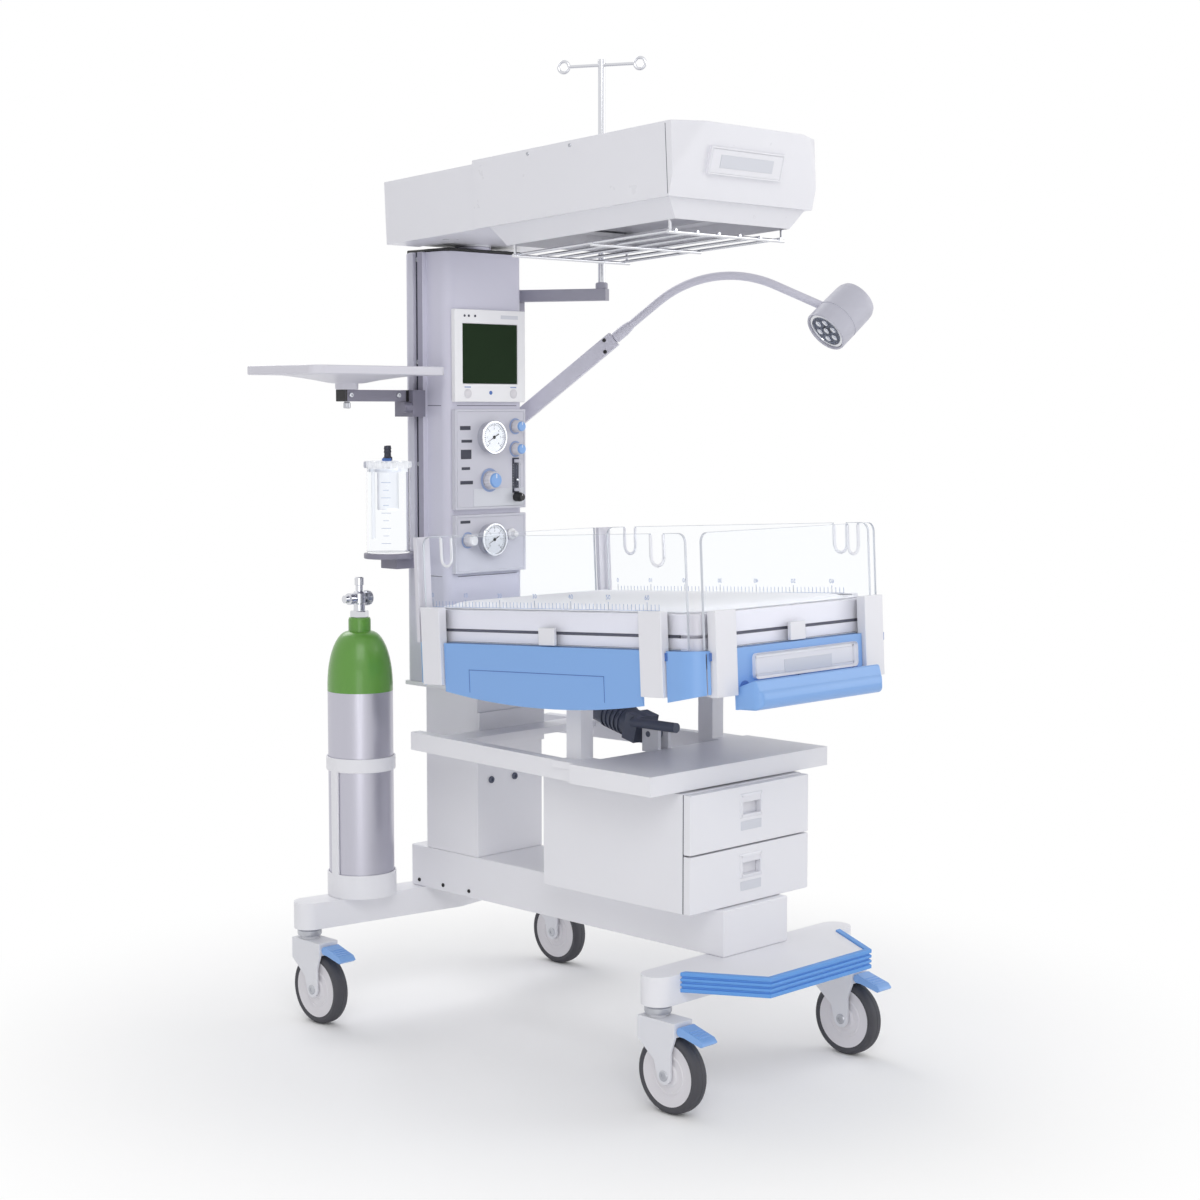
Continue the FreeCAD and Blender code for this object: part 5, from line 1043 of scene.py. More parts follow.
def module_plates():
    """Dished plates of the gas and suction modules and a gauge on each."""
    plates = []
    for name, (low, high) in (("gas_plate", GAS_PLATE_HEIGHTS), ("suction_plate", SUCTION_PLATE_HEIGHTS)):
        near, far = (-MODULE_HALF, FACE_Y, low), (MODULE_HALF, COLUMN_FRONT, high)
        plates.append(dished(name, near, far, 0.0055, 0.0007, PANEL_GREY, "base", 0.0009))
    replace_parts(plates[0], "gas_suction_panels")
    first = gauge("gas_gauge", *GAS_GAUGE)
    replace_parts(first["case"], "pressure_gauges")
    drop = Matrix.Translation((0, 0, SUCTION_GAUGE_LEVEL - GAS_GAUGE[1]))
    for label, piece in first.items():
        another(piece, f"suction_gauge_{label}", drop, "base")


def module_knobs():
    """Five knobs and the printed rings round four of them."""
    small = knob("air_knob", 0.0130, KNOB_DEPTH, HUB_GREY, BLUE_PLASTIC)
    same_knob(small, "air_knob", "oxygen_knob", BLUE_PLASTIC)
    same_knob(small, "air_knob", "suction_knob", BEZEL)
    knob("mixer_knob", 0.0190, KNOB_DEPTH, HUB_GREY, BLUE_PLASTIC)
    knob("flow_knob", 0.0100, KNOB_DEPTH, BLACK, BLACK)
    collars = []
    for name, reach in KNOB_SCALES.items():
        section = (reach * 0.80, -0.0002), (reach, -0.0002), (reach, 0.0004), (reach * 0.80, 0.0004)
        spot = joint_spot(f"{name}_turn")
        collars.append(turned_ring(name + "_scale", spot, FRONT, section, PALE_INK, "base", 48))
    joined("knob_scales", collars)


def flow_meter():
    """Flow tube between two ends on a dark backing, with a float and ticks."""
    near = FLOW_X - FLOW_BACKING_HALF, FACE_Y - 0.0009, FLOW_BACKING_HEIGHTS[0]
    far = FLOW_X + FLOW_BACKING_HALF, FACE_Y + 0.001, FLOW_BACKING_HEIGHTS[1]
    block("flow_backing", near, far, INK_AND_SHADE, "base", 0.0005, 2)
    section = (0.0070, 0.0), (0.0070, FLOW_TUBE_LENGTH), (0.0045, FLOW_TUBE_LENGTH), (0.0045, 0.0)
    turned_ring("flow_tube", (FLOW_X, FLOW_Y, FLOW_TUBE_FOOT), UP, section, ACRYLIC, "base", 32)
    ends = [(FLOW_X, FLOW_Y, level) for level in FLOW_END_LEVELS]
    rings = (0.0062, 0.0), (0.0076, 0.0008), (0.0076, 0.0062), (0.0062, 0.0070)
    end = turned("flow_end", ends[0], UP, rings, PANEL_GREY, "base", 32)
    repeated("flow_ends", end, shifts(ends), "base")
    ball = (
        (0.0008, 0.0), (0.0026, 0.0008), (0.0034, 0.0026),
        (0.0034, 0.0038), (0.0026, 0.0056), (0.0008, 0.0064),
    )
    turned("flow_float", (FLOW_X, FLOW_Y, FLOAT_LEVEL), UP, ball, CHROME, "base", 20)
    levels = [FLOW_TICK_FOOT + FLOW_TICK_PITCH * index for index in range(FLOW_TICKS)]
    spots = [Vector((FLOW_X, FACE_Y, level)) for level in levels]
    low, high = spots[0] + Vector((-0.0090, -0.0012, -0.0003)), spots[0] + Vector((-0.0072, -0.0008, 0.0003))
    repeated("flow_ticks", block("flow_tick", low, high, BEZEL, "base", 0.00005, 1), shifts(spots), "base")


def module_marks():
    """Blank markings, the suction port and the pale inner plate of the gas module."""
    boxes = []
    for near, far, level, tall in BLANK_MARKS:
        boxes.append(((near, FACE_Y + 0.0003, level - tall / 2), (far, FACE_Y + 0.0011, level + tall / 2)))
    blocks("blank_marks", boxes, INK_AND_SHADE, "base", 0.0002)
    port = (
        (0.0120, 0.0), (0.0120, 0.0040), (0.0100, 0.0060),
        (0.0080, 0.0062), (0.0066, 0.0160), (0.0052, 0.0170),
    )
    turned("suction_port", (PORT_X, FACE_Y, PORT_LEVEL), FRONT, port, BEZEL, "base", 36)
    near, far = (-0.050, FACE_Y - 0.0002, 1.094), (0.096, FACE_Y + 0.0012, 1.132)
    dished("gas_inner_plate", near, far, 0.0012, 0.0005, PLATE, "base", 0.0002)


controller_details()
module_plates()
module_knobs()
flow_meter()
module_marks()


# Bed: skirt, sides and mattress, drawn level in the bed's frame

PANEL_X, PANEL_Y, PANEL_TOP = 0.2675, 0.3865, 0.301
OUTLINE_STROKES = (
    ((-0.157, 0.222), (0.0345, 0.0360)),
    ((-0.157, -0.1555), (-0.014, 0.0360)),
    ((0.2205, 0.222), (-0.010, 0.0360)),
)
SKIRT_NOTCH_HEIGHTS, SKIRT_NOTCH_HALF = (0.069, 0.084), 0.0006
SIDE_NOTCH_DEPTHS, FRONT_NOTCH_X = (-0.3215, -0.3145), (0.2505, 0.2575)


def skirt_details():
    """Raised outline on the long sides, deep blue as painted shade of its step, blank plates on the front and
    dark notches by the fittings, painted shade of their recesses.
    """
    boxes = []
    # Thin raised strips in deep blue along the outline: painted shade of its step
    for depths, heights in OUTLINE_STROKES:
        boxes += both_sides(SKIRT_X - 0.001, SKIRT_X + 0.0006, depths, heights)
    blocks("skirt_outline", boxes, DEEP_BLUE_AND_SHADE, "bed", 0.0003, 1, BED)
    near, far = (-0.140, -SKIRT_Y - 0.0022, 0.026), (0.165, -SKIRT_Y + 0.001, 0.074)
    dished("front_plate", near, far, 0.003, 0.0008, WHITE_PLASTIC, "bed", 0.0006, BED, 0.009)
    near, far = (-0.050, -SKIRT_Y - 0.0026, 0.032), (0.090, -SKIRT_Y + 0.001, 0.056)
    block("front_blank", near, far, PLATE, "bed", 0.0004, 2, BED)
    # Flat deep blue blocks beside the fittings: painted shade of the recesses there
    half, heights = SKIRT_NOTCH_HALF, SKIRT_NOTCH_HEIGHTS
    boxes = both_sides(SKIRT_X - half, SKIRT_X + half, SIDE_NOTCH_DEPTHS, heights)
    boxes += both_sides(*FRONT_NOTCH_X, (-SKIRT_Y - half, -SKIRT_Y + half), heights)
    blocks("skirt_notches", boxes, DEEP_BLUE_AND_SHADE, "bed", 0.0004, 2, BED)


LEDGE_CORNER, LEDGE_ROUND = 0.020, 0.008
SHADE_DISC_X, SHADE_DISC_LEVEL = 0.163, 0.0135


def ledge_tray():
    """Sloping ledge with round front corners, blank plates on it, a catch in the middle and two deep blue
    discs of painted shade at the ends of its dish.
    """
    low = Vector((-LEDGE_X, -SKIRT_Y - LEDGE_REACH, LEDGE_LOW))
    high = Vector((LEDGE_X, -SKIRT_Y + LEDGE_OVERLAP, LEDGE_CREST))
    ledge = cube(low, high)
    bpy.ops.object.mode_set(mode="EDIT")
    edit_selection(
        "edges",
        lambda edge: all(vert.co.y < low.y + 0.001 for vert in edge.verts)
        and abs(edge.verts[0].co.z - edge.verts[1].co.z) > 0.02,
    )
    bpy.ops.mesh.bevel(offset=LEDGE_CORNER, segments=8, affect="EDGES")
    slope = math.atan2(LEDGE_DROP, LEDGE_REACH + LEDGE_OVERLAP)
    edit_selection("faces", lambda face: face.normal.z > 0.9)
    bpy.ops.transform.rotate(value=slope, orient_axis="X", center_override=(0, high.y, high.z))
    bpy.ops.object.mode_set(mode="OBJECT")
    rounded(ledge, LEDGE_ROUND, 5, 40)
    settle("ledge_tray", BLUE_PLASTIC, "bed", BED)
    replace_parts(ledge, "bed_skirt")
    top = BED @ Matrix.Translation((0, high.y, high.z)) @ Matrix.Rotation(slope, 4, "X")
    for side, near, far in (
        ("left", (-0.150, -0.046, -0.001), (-0.056, -0.026, 0.0008)),
        ("right", (0.040, -0.042, -0.001), (0.108, -0.024, 0.0008)),
    ):
        block(f"ledge_blank_{side}", near, far, PLATE, "bed", 0.0004, 2, top)
    near, far = (-0.013, -SKIRT_Y - 0.010, 0.002), (0.013, -SKIRT_Y + 0.001, 0.0255)
    block("ledge_catch", near, far, DEEP_BLUE_AND_SHADE, "bed", 0.0045, 4, BED)
    # Deep blue discs at both ends: painted shade of the deeper ends of the ledge's dish
    rings = (0.0130, 0.0), (0.0130, 0.0012), (0.0118, 0.0020)
    ends = [BED @ facing((side * SHADE_DISC_X, -SKIRT_Y, SHADE_DISC_LEVEL), FRONT) for side in SIDES]
    shade_disc = turned("ledge_scoop", (0, 0, 0), UP, rings, DEEP_BLUE_AND_SHADE, "bed", 32, ends[0])
    repeated("ledge_scoops", shade_disc, ends, "bed")


TUBE_NOTCH_HALF, TUBE_NOTCH_DEPTH = 0.0158, 0.058
TUBE_NOTCH_ARC = (math.pi, 3.8, 4.712, 5.6, math.tau)
TUBE_NOTCH_Y, FRONT_TUBE_NOTCH_X = 0.292, 0.188


def grommet(name, body, middle, normal_x):
    """Soft U-shaped edging of a tube notch."""
    half, depth = TUBE_NOTCH_HALF, TUBE_NOTCH_DEPTH
    shape = [(-half, 0.0), (-half, -depth * 0.35)]
    for turn in TUBE_NOTCH_ARC:
        shape.append((half * math.cos(turn), -depth + half + half * math.sin(turn)))
    shape += [(half, -depth * 0.35), (half, 0.0)]
    points = []
    for along, drop in shape:
        across = (0.0, along) if normal_x else (along, 0.0)
        points.append((middle[0] + across[0], middle[1] + across[1], PANEL_TOP - 0.003 + drop))
    return tube(name, points, 0.0030, EDGING, body, BED, 3, 4)


RULER_FACE, RULER_HALF, RULER_FOOT = 0.2703, 0.0002, 0.1600
RULER_START, RULER_END = 0.3365, -0.2945
RULER_ROWS = (("fine", 0.01, 64, 0.011), ("long", 0.1, 7, 0.015))
RULER_DIGITS, DIGIT_PITCH, DIGIT_LEVEL, DIGIT_SIZE = 7, 0.1, 0.1830, 0.0125


def ruler(name, body, side):
    """Printed centimetre scale along the foot of a side panel, counted from the column."""
    face = side * RULER_FACE
    near, far = face - RULER_HALF, face + RULER_HALF
    strip = []
    for label, pitch, count, tall in RULER_ROWS:
        ticks = cube((near, RULER_START - 0.001, RULER_FOOT), (far, RULER_START, RULER_FOOT + tall))
        repeat = ticks.modifiers.new("Repeat", "ARRAY")
        repeat.use_relative_offset = False
        repeat.use_constant_offset = True
        repeat.constant_offset_displace = (0, -pitch, 0)
        repeat.count = count
        bpy.ops.object.modifier_apply(modifier="Repeat")
        strip.append(settle(f"{name}_{label}", PALE_INK, body, BED))
    low, high = (near, RULER_END, RULER_FOOT - 0.0008), (far, RULER_START, RULER_FOOT)
    strip.append(block(f"{name}_line", low, high, PALE_INK, body, 0.00006, 1, BED))
    for index in range(RULER_DIGITS):
        spot = Vector((face, RULER_START - 0.0005 - DIGIT_PITCH * index, DIGIT_LEVEL))
        turn = BED @ Matrix.Translation(spot) @ Matrix.Rotation(math.radians(90 * side), 4, "Z")
        digits = str(10 * index)
        strip.append(lettered(f"{name}_digit_{index}", digits, DIGIT_SIZE, (0, 0, 0), PALE_INK, body, turn))
    joined(name, strip)


# Painted shade in the gap under the mattress tray and the gap between base and skirt: half width, half depth,
# bottom and top of each band
SHADE_GAP_LINES = ((0.2560, 0.3750, 0.1085, 0.1150), (0.2590, 0.3780, 0.0868, 0.0896))
SHADE_GAP_MARGIN = 0.045


def bed_details():
    """Dark lines of painted shade in the gaps round the bed, notch edgings and rulers."""
    boxes = []
    for half_x, half_y, low, high in SHADE_GAP_LINES:
        depths = -half_y + SHADE_GAP_MARGIN, half_y - SHADE_GAP_MARGIN
        boxes += both_sides(half_x - 0.002, half_x, depths, (low, high))
        inner = half_x - SHADE_GAP_MARGIN
        boxes.append(((-inner, -half_y, low), (inner, -half_y + 0.002, high)))
    blocks("joint_lines", boxes, SEAM, "bed", 0.0003, 1, BED)
    first = grommet("edging_left_0", "side_left", (-PANEL_X, -TUBE_NOTCH_Y), True)
    for name, body, x, y in (
        ("edging_left_1", "side_left", -PANEL_X, TUBE_NOTCH_Y),
        ("edging_right_0", "side_right", PANEL_X, -TUBE_NOTCH_Y),
        ("edging_right_1", "side_right", PANEL_X, TUBE_NOTCH_Y),
    ):
        move = Matrix.Translation((x + PANEL_X, y + TUBE_NOTCH_Y, 0))
        another(first, name, BED @ move @ BED.inverted(), body)
    grommet("edging_front", "side_front", (FRONT_TUBE_NOTCH_X, -PANEL_Y), False)
    ruler("ruler_left", "side_left", -1)
    ruler("ruler_right", "side_right", 1)


skirt_details()
ledge_tray()
bed_details()

PAD_SHARE, PAD_MIDDLE, PAD_GRID = (0.988, 0.992, 0.90), 0.140, 0.0065
FILL_PRESSURE, FILL_STEPS, SWELL_LIMIT = 4.0, 15, 0.005
PIPING_CORNER, PIPING_LEVEL = 0.036, 0.1555
PIPING_HALF_X, PIPING_HALF_Y = 0.2395, 0.3585


def fill_pad(pad):
    """Blow the pad up a little by cloth simulation, each point by no more than a limit."""
    rest = [vertex.co.copy() for vertex in pad.data.vertices]
    filling = pad.modifiers.new("Filling", "CLOTH")
    filling.settings.use_pressure = True
    filling.settings.uniform_pressure_force = FILL_PRESSURE
    filling.settings.effector_weights.gravity = 0
    filling.settings.quality = 5
    scene = bpy.context.scene
    for step in range(1, FILL_STEPS + 1):
        scene.frame_set(step)
    bpy.ops.object.modifier_apply(modifier="Filling")
    scene.frame_set(1)
    for vertex, start in zip(pad.data.vertices, rest):
        move = vertex.co - start
        if move.length > SWELL_LIMIT:
            vertex.co = start + move * (SWELL_LIMIT / move.length)


def mattress_pad():
    """Foam pad in coated cloth, with piping round its edge."""
    pad = cad_copy("mattress")
    bpy.ops.object.mode_set(mode="EDIT")
    bpy.ops.mesh.select_all(action="SELECT")
    bpy.ops.transform.resize(value=PAD_SHARE, center_override=BED @ Vector((0, 0, PAD_MIDDLE)))
    bpy.ops.object.mode_set(mode="OBJECT")
    pad.data.remesh_voxel_size = PAD_GRID
    bpy.ops.object.voxel_remesh()
    fill_pad(pad)
    easing = pad.modifiers.new("Easing", "SMOOTH")
    easing.factor = 0.5
    easing.iterations = 6
    bpy.ops.object.modifier_apply(modifier="Easing")
    settle("mattress_pad", PAD, "bed", None, 60.0)
    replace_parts(pad, "mattress")
    line = []
    for sign_x, sign_y, start in ((1, 1, 0.0), (-1, 1, 90.0), (-1, -1, 180.0), (1, -1, 270.0)):
        for step in (0.0, 22.5, 45.0, 67.5, 90.0):
            turn = math.radians(start + step)
            x = sign_x * (PIPING_HALF_X - PIPING_CORNER) + PIPING_CORNER * math.cos(turn)
            y = sign_y * (PIPING_HALF_Y - PIPING_CORNER) + PIPING_CORNER * math.sin(turn)
            line.append((x, y, PIPING_LEVEL))
    tube("mattress_piping", line, 0.0026, PAD, "bed", BED, 3, 4, True)


mattress_pad()


# Hood, drawn level in its own frame

HOOD_HALF, HOOD_SEAM_Y = 0.207, -0.7660
NOSE_LEAN, NOSE_SPOT = math.atan2(0.040, 0.136), (0, -0.788, 0.068)
HOOD_SCREW_RUNS, HOOD_SCREW_LEVEL = (-0.400, -0.517), 0.127
HEATER_LEVEL, HEATER_ENDS = 0.0393, ((-0.334, 1), (-0.696, -1))


def hood_details():
    """Blank plate on the nose, panel seams, screws and heater ends."""
    nose = HOOD @ Matrix.Translation(NOSE_SPOT) @ Matrix.Rotation(NOSE_LEAN, 4, "X")
    near, far = (-0.120, -0.0075, -0.024), (0.090, 0.001, 0.028)
    dished("hood_plate", near, far, 0.004, 0.0012, WHITE_PLASTIC, "hood", 0.0012, nose)
    near, far = (-0.090, -0.0072, -0.010), (0.060, -0.004, 0.014)
    block("hood_plate_blank", near, far, PLATE, "hood", 0.0004, 2, nose)
    depths = HOOD_SEAM_Y - SEAM_HALF, HOOD_SEAM_Y + SEAM_HALF
    boxes = both_sides(HOOD_HALF - 0.001, HOOD_HALF + 0.0002, depths, (0.004, 0.132))
    boxes.append(((-HOOD_HALF + 0.004, depths[0], 0.135), (HOOD_HALF - 0.004, depths[1], 0.1362)))
    blocks("hood_seams", boxes, SEAM, "hood", 0.0001, 1, HOOD)
    places = []
    for run in HOOD_SCREW_RUNS:
        for side in SIDES:
            places.append(HOOD @ facing((side * (HOOD_HALF - 0.0002), run, HOOD_SCREW_LEVEL), (side, 0, 0)))
    screws("hood_screws", places, 0.0036, "hood")
    places = [HOOD @ facing((0, run, HEATER_LEVEL), (0, way, 0)) for run, way in HEATER_ENDS]
    rings = (0.0085, -0.014), (0.0095, -0.012), (0.0095, 0.010), (0.0060, 0.014), (0.0030, 0.022)
    end = turned("heater_end", (0, 0, 0), UP, rings, BEZEL, "hood", 24, places[0])
    repeated("heater_ends", end, places, "hood")


hood_details()


# Lamp, drip stand and tray

LAMP_ROOT = joint_spot("lamp_arm_swing")
NECK_ROOT = joint_spot("gooseneck_twist")
NECK_WAY = Vector(JOINTS["gooseneck_twist"]["axis"])
LAMP_LOOK = Vector((-0.74641, 0.17232, -0.64279))
LAMP_FACE = Vector((0.47727, -0.26096, 1.46467))
EYE_REACH, EYE_DEPTH = 0.0225, 0.0056
LAMP_SCREWS, LAMP_SCREW_OUT = ((0.020, 0.0105), (0.034, -0.0105)), 0.0069


def lamp_head_details():
    """Drum head with seven small lamps behind a ringed lens."""
    body = "lamp_neck"
    drum = (
        (0.0200, -0.1180), (0.0360, -0.1168), (0.0430, -0.1125), (0.0468, -0.1040), (0.0480, -0.0930),
        (0.0488, -0.0420), (0.0476, -0.0412), (0.0476, -0.0385), (0.0488, -0.0377),
        (0.0490, -0.0030), (0.0476, -0.0004), (0.0446, -0.0004), (0.0432, -0.0060),
    )
    # The drum takes the darker copy of the lamp paint: painted shade
    head = turned("lamp_drum", LAMP_FACE, LAMP_LOOK, drum, LAMP_HEAD_SHADE, body, 64)
    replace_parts(head, "lamp_head")
    section = (0.0426, -0.0058), (0.0426, -0.0036), (0.0370, -0.0036), (0.0360, -0.0058)
    turned_ring("lens_ring", LAMP_FACE, LAMP_LOOK, section, CHROME, body, 56)
    cup = (0.0355, -0.0058), (0.0350, -0.0050), (0.0220, -0.0054), (0.0120, -0.0058)
    turned("lamp_cup", LAMP_FACE, LAMP_LOOK, cup, MOTOR_GREY, body, 48)
    eye = (0.0072, 0.0), (0.0072, 0.0012), (0.0056, 0.0024), (0.0024, 0.0028)
    across = LAMP_LOOK.orthogonal().normalized() * EYE_REACH
    back = LAMP_FACE - LAMP_LOOK * EYE_DEPTH
    spots = [back]
    for index in range(6):
        spots.append(back + Matrix.Rotation(math.tau * index / 6, 3, LAMP_LOOK) @ across)
    first = turned("lamp_eye", back, LAMP_LOOK, eye, CHROME, body, 20)
    repeated("lamp_eyes", first, shifts(spots), body)
    lens = (0.0365, -0.0030), (0.0365, -0.0018), (0.0260, -0.0013), (0.0120, -0.0010)
    turned("lamp_lens", LAMP_FACE, LAMP_LOOK, lens, ACRYLIC, body, 56)


def lamp_arm_details():
    """Sleeve at the neck's root, hub cap and the screws that hold the neck."""
    sleeve = (0.0095, 0.0005), (0.0125, 0.0020), (0.0125, 0.0300), (0.0105, 0.0420), (0.0095, 0.0460)
    turned("neck_sleeve", NECK_ROOT, NECK_WAY, sleeve, LAMP_GREY, "lamp_neck", 32)
    cap = (0.0185, 0.0200), (0.0185, 0.0230), (0.0165, 0.0255), (0.0080, 0.0262)
    turned("lamp_hub_cap", LAMP_ROOT, UP, cap, ARM_GREY, "lamp", 36)
    side = NECK_WAY.cross(Vector(UP)).normalized()
    lift = side.cross(NECK_WAY).normalized()
    places = []
    for way in SIDES:
        for along, up in LAMP_SCREWS:
            spot = NECK_ROOT - NECK_WAY * along + lift * up + side * (way * LAMP_SCREW_OUT)
            places.append(facing(spot, side * way))
    screws("lamp_screws", places, 0.0042, "lamp", BLACK)


STAND_WAY, STAND_REACH = math.radians(-64), 0.217
POLE_TOP = 2.0560
TRAY_SCREW_X, TRAY_SCREW_LEVEL = (-0.312, -0.184), 1.331


def stand_details():
    """Pole collar, hub cap, the screws of the tray arm and the pole's tip."""
    root = joint_spot("drip_arm_swing")
    foot = root + Vector((math.cos(STAND_WAY), math.sin(STAND_WAY), 0)) * STAND_REACH
    collar = (
        (0.0083, 0.0130), (0.0125, 0.0130), (0.0135, 0.0145),
        (0.0135, 0.0230), (0.0120, 0.0260), (0.0083, 0.0270),
    )
    turned_ring("pole_collar", foot, UP, collar, ARM_GREY, "drip_stand", 36)
    cap = (0.0150, 0.0130), (0.0150, 0.0150), (0.0125, 0.0172), (0.0050, 0.0178)
    turned("stand_hub_cap", root, UP, cap, ARM_GREY, "drip_stand", 36)
    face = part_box("tray_arm")[0].y + 0.014
    places = [facing((x, face, TRAY_SCREW_LEVEL), FRONT) for x in TRAY_SCREW_X]
    screws("tray_screws", places, 0.0055, "side_tray")
    tip = (0.0086, -0.0060), (0.0086, 0.0), (0.0070, 0.0016), (0.0030, 0.0022)
    turned("pole_tip", (foot.x, foot.y, POLE_TOP - 0.0022), UP, tip, CHROME, "drip_stand", 32)


TRAY_DEPTH, DOME_DEPTH, DOME_STRETCH = 0.018, 0.0170, 1.45
ARM_UNDER, ARM_TOP, ARM_HALF = 1.318, 1.342, 0.016
CAP_WALL, TIP_CAP, ROOT_CAP = 0.0003, 0.0050, (0.0420, 0.0300)
PIN_TAIL_DROP = 0.0145


def tray_details():
    """Shallow dome under the tray, tail of its pin and dark ends on its arm."""
    low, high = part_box("tray_plate")
    middle = (low + high) / 2
    dome = (
        (0.0240, 0.0), (0.0300, 0.0010), (0.0560, 0.0075),
        (0.0880, 0.0135), (0.1080, 0.0165), (0.1080, 0.0175),
    )
    foot = Matrix.Translation((middle.x, middle.y, high.z - TRAY_DEPTH - DOME_DEPTH))
    oval = foot @ Matrix.Diagonal((DOME_STRETCH, 1, 1, 1))
    turned("tray_dome", (0, 0, 0), UP, dome, BED_MOULDING, "side_tray", 72, oval)
    tail = (0.0060, 0.0), (0.0075, 0.0012), (0.0075, 0.0110), (0.0055, 0.0125), (0.0055, 0.0200)
    turned("tray_pin_tail", (middle.x, middle.y, ARM_UNDER - PIN_TAIL_DROP), UP, tail, STEEL, "side_tray", 28)
    near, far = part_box("tray_arm")
    front, rear = middle.y - ARM_HALF, middle.y + ARM_HALF + CAP_WALL
    under, top = ARM_UNDER - CAP_WALL, ARM_TOP + CAP_WALL
    boxes = (
        ((near.x - CAP_WALL, front - CAP_WALL, under), (near.x + TIP_CAP, rear, top)),
        ((far.x - ROOT_CAP[0], front - 0.0004, under), (far.x - ROOT_CAP[1], rear, top)),
    )
    blocks("arm_ends", boxes, BLACK, "side_tray", 0.0012, 2)


lamp_head_details()
lamp_arm_details()
stand_details()
tray_details()


# Suction jar and gas bottle

JAR = Vector((-0.202, 0.372, 0.998))
STUB_REACH = 0.015
JAR_RADIUS, JAR_TURN = 0.0461, math.radians(-45)
JAR_MARK_FOOT, JAR_MARK_PITCH = 0.022, 0.016
BOTTLE_FOOT, BOTTLE_RADIUS = Vector((-0.226, 0.44175, 0.257)), 0.070
NECK_RADIUS, SHOULDER_FOOT, SHOULDER_RISE, SHOULDER_STEPS = 0.0240, 0.4580, 0.1130, 12
VALVE_LEVEL = 0.6410


def jar_details():
    """Clear jar, a ribbed lid with two stubs, and the float cage and dip tube inside."""
    wall = (
        (0.0420, 0.0030), (0.0434, 0.0060), (0.0434, 0.1790),
        (0.0460, 0.1790), (0.0460, 0.0050), (0.0440, 0.0006),
    )
    jar = turned("jar_wall", JAR, UP, wall, ACRYLIC, "base", 56)
    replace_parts(jar, "suction_jar")
    lid = (
        (0.0430, 0.1720), (0.0430, 0.1800), (0.0495, 0.1800), (0.0508, 0.1820),
        (0.0508, 0.1920), (0.0480, 0.1945), (0.0220, 0.1960),
    )
    cover = turned("jar_lid_cap", JAR, UP, lid, FROSTED, "base", 96, flutes=24)
    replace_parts(cover, "jar_lid")
    spots = [JAR + Vector((side * STUB_REACH, side * STUB_REACH, 0)) for side in SIDES]
    rings = (
        (0.0080, 0.1940), (0.0080, 0.2020), (0.0055, 0.2040), (0.0050, 0.2120),
        (0.0062, 0.2130), (0.0050, 0.2190), (0.0062, 0.2200), (0.0048, 0.2270),
    )
    stub = turned("jar_stub", spots[0], UP, rings, INK_AND_SHADE, "base", 28)
    repeated("jar_stubs", stub, shifts(spots), "base")
    section = (
        (0.0082, 0.1945), (0.0098, 0.1945), (0.0104, 0.1960),
        (0.0104, 0.1995), (0.0092, 0.2010), (0.0082, 0.2010),
    )
    turned_ring("jar_stub_ring", spots[0], UP, section, DEEP_BLUE_AND_SHADE, "base", 32)
    cage = (0.0110, 0.0900), (0.0225, 0.0920), (0.0225, 0.1760), (0.0200, 0.1790)
    turned("float_cage", JAR, UP, cage, FROSTED, "base", 36)
    drop = (0.0040, 0.0300), (0.0040, 0.1780)
    turned("dip_tube", JAR + Vector((-0.030, 0.012, 0)), UP, drop, FROSTED, "base", 20)


def jar_marks():
    """Printed scale on the side of the jar."""
    turn = Matrix.Rotation(JAR_TURN, 4, "Z")
    face = Matrix.Translation(JAR) @ turn @ Matrix.Translation((0, -JAR_RADIUS, 0))
    marks = []
    for label, half, levels in (("long", 0.010, (0, 2, 4, 6, 8)), ("short", 0.006, (1, 3, 5, 7))):
        places = []
        for level in levels:
            places.append(face @ Matrix.Translation((0, 0, JAR_MARK_FOOT + JAR_MARK_PITCH * level)))
        low, high = (-half, -0.0002, 0.0), (half, 0.0002, 0.0008)
        mark = block(f"jar_{label}_mark", low, high, PALE_INK, "base", 0.00006, 1, places[0])
        marks.append(repeated(f"jar_{label}_marks", mark, places, "base"))
    joined("jar_scale", marks)


def bottle_details():
    """Bare lower barrel and green shoulder."""
    radius = BOTTLE_RADIUS
    barrel = (0.0560, 0.0060), (0.0630, 0.0065), (0.0685, 0.0100), (radius, 0.0160), (radius, 0.4460)
    body = turned("bottle_barrel", BOTTLE_FOOT, UP, barrel, BOTTLE, "base", 72)
    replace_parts(body, "oxygen_cylinder")
    dome = [(radius + 0.0002, 0.4430), (radius + 0.0002, SHOULDER_FOOT)]
    for step in range(1, SHOULDER_STEPS + 1):
        angle = math.radians(90 * step / SHOULDER_STEPS)
        across = NECK_RADIUS + (radius - NECK_RADIUS) * math.cos(angle)
        dome.append((across, SHOULDER_FOOT + SHOULDER_RISE * math.sin(angle)))
    dome += [(NECK_RADIUS, 0.5950), (0.0225, 0.6000)]
    turned("bottle_shoulder", BOTTLE_FOOT, UP, dome, GREEN_PAINT, "base", 72)


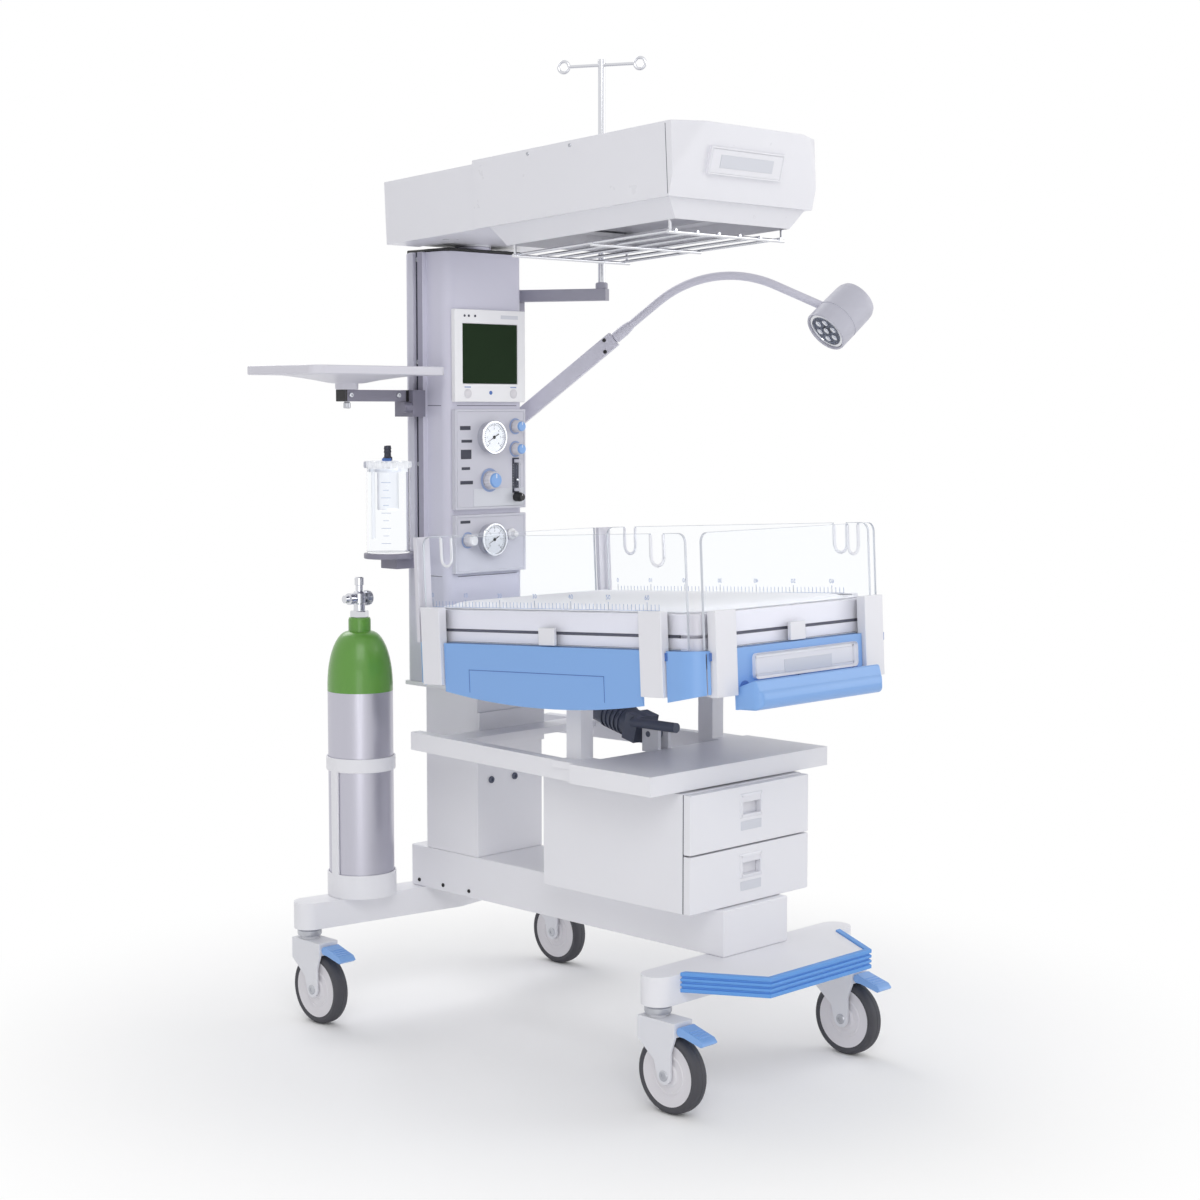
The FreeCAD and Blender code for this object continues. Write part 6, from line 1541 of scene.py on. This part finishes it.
def valve_details():
    """Small valve with a nut, an outlet and a handwheel."""
    nut = (0.0190, 0.6000), (0.0200, 0.6020), (0.0200, 0.6130), (0.0185, 0.6150), (0.0120, 0.6150)
    turned("valve_nut", BOTTLE_FOOT, UP, nut, CHROME, "base", 6)
    stem = (
        (0.0125, 0.6150), (0.0125, 0.6290), (0.0140, 0.6310), (0.0140, 0.6520), (0.0110, 0.6560),
        (0.0080, 0.6570), (0.0080, 0.6690), (0.0100, 0.6700), (0.0100, 0.6850), (0.0085, 0.6870),
    )
    turned("valve_stem", BOTTLE_FOOT, UP, stem, CHROME, "base", 36)
    middle = BOTTLE_FOOT + Vector((0, 0, VALVE_LEVEL))
    outlet = (
        (0.0090, 0.0), (0.0090, 0.0180), (0.0125, 0.0190), (0.0125, 0.0300),
        (0.0085, 0.0310), (0.0085, 0.0410), (0.0070, 0.0420),
    )
    turned("valve_outlet", middle, LEFT, outlet, CHROME, "base", 28)
    wheel = (
        (0.0060, 0.0), (0.0060, 0.0150), (0.0160, 0.0160),
        (0.0165, 0.0180), (0.0165, 0.0250), (0.0150, 0.0270),
    )
    turned("valve_wheel", middle, RIGHT, wheel, STEEL, "base", 48, flutes=12)


jar_details()
jar_marks()
bottle_details()
valve_details()


# Studio

FADE_START, FADE_END = 0.5, 1.5
ROOM_LIGHT = 0.56
AIM = Vector((0, 0, 0.9))
LAMPS = (
    ("key", (-3.2, -3.6, 4.2), 76, 3.0),
    ("low", (-3.0, -2.6, 0.6), 12, 1.4),
    ("fill", (3.6, -2.6, 2.2), 42, 3.0),
    ("back", (0.5, 3.6, 4.0), 60, 2.5),
)
CAMERA_SPOT, CAMERA_LOOK = (-3.112, -3.140, 1.300), Vector((0.708, 0.7006, -0.0884))


def seen_directly(tree):
    """One for what the camera sees, mirrors or looks through glass at."""
    path = tree.nodes.new("ShaderNodeLightPath")
    seen = maths(tree, "MAXIMUM", path.outputs["Is Camera Ray"], path.outputs["Is Glossy Ray"])
    return maths(tree, "MAXIMUM", seen, path.outputs["Is Transmission Ray"])


def studio_floor():
    """Pale floor that takes the shadow near the part and runs out into white further off."""
    material = painted("pale_floor", (252, 252, 253), 0.8, 40.0, 0.0, drift=0.02)
    tree = material.node_tree
    place = tree.nodes.new("ShaderNodeTexCoord").outputs["Object"]
    reach = tree.nodes.new("ShaderNodeVectorMath")
    reach.operation = "LENGTH"
    tree.links.new(place, reach.inputs[0])
    fade = tree.nodes.new("ShaderNodeMapRange")
    fade.interpolation_type = "SMOOTHSTEP"
    set_values(fade, {"From Min": FADE_START, "From Max": FADE_END})
    tree.links.new(reach.outputs["Value"], fade.inputs["Value"])
    white = tree.nodes.new("ShaderNodeEmission")
    mix = tree.nodes.new("ShaderNodeMixShader")
    tree.links.new(maths(tree, "MULTIPLY", fade.outputs["Result"], seen_directly(tree)), mix.inputs[0])
    tree.links.new(tree.nodes["Principled BSDF"].outputs["BSDF"], mix.inputs[1])
    tree.links.new(white.outputs["Emission"], mix.inputs[2])
    tree.links.new(mix.outputs["Shader"], tree.nodes["Material Output"].inputs["Surface"])
    return material


def stand_in(name, data, spot, look):
    """A lamp or camera put into the scene, looking one way."""
    holder = bpy.data.objects.new(name, data)
    holder.location = spot
    holder.rotation_euler = look.to_track_quat("-Z", "Y").to_euler()
    bpy.context.scene.collection.objects.link(holder)
    return holder


def studio():
    """Pale floor, soft light and a camera at the photograph's angle."""
    clean_selection()
    bpy.ops.mesh.primitive_plane_add(size=60, location=(0, 0, 0))
    floor = bpy.context.active_object
    floor.name = "floor"
    floor.data.materials.append(studio_floor())

    world = bpy.data.worlds.new("studio")
    world.use_nodes = True
    bpy.context.scene.world = world
    tree = world.node_tree
    backdrop = tree.nodes["Background"]
    level = maths(tree, "ADD", maths(tree, "MULTIPLY", seen_directly(tree), 1 - ROOM_LIGHT), ROOM_LIGHT)
    backdrop.inputs["Color"].default_value = (1, 1, 1, 1)
    tree.links.new(level, backdrop.inputs["Strength"])

    for name, spot, power, size in LAMPS:
        lamp = bpy.data.lights.new(name, "AREA")
        lamp.energy = power
        lamp.size = size
        stand_in(name, lamp, spot, AIM - Vector(spot))

    camera = bpy.data.cameras.new("photo_view")
    camera.sensor_width = 36
    camera.lens = 64.2
    bpy.context.scene.camera = stand_in("photo_view", camera, CAMERA_SPOT, CAMERA_LOOK)
    bpy.context.scene.view_settings.view_transform = "Standard"


studio()
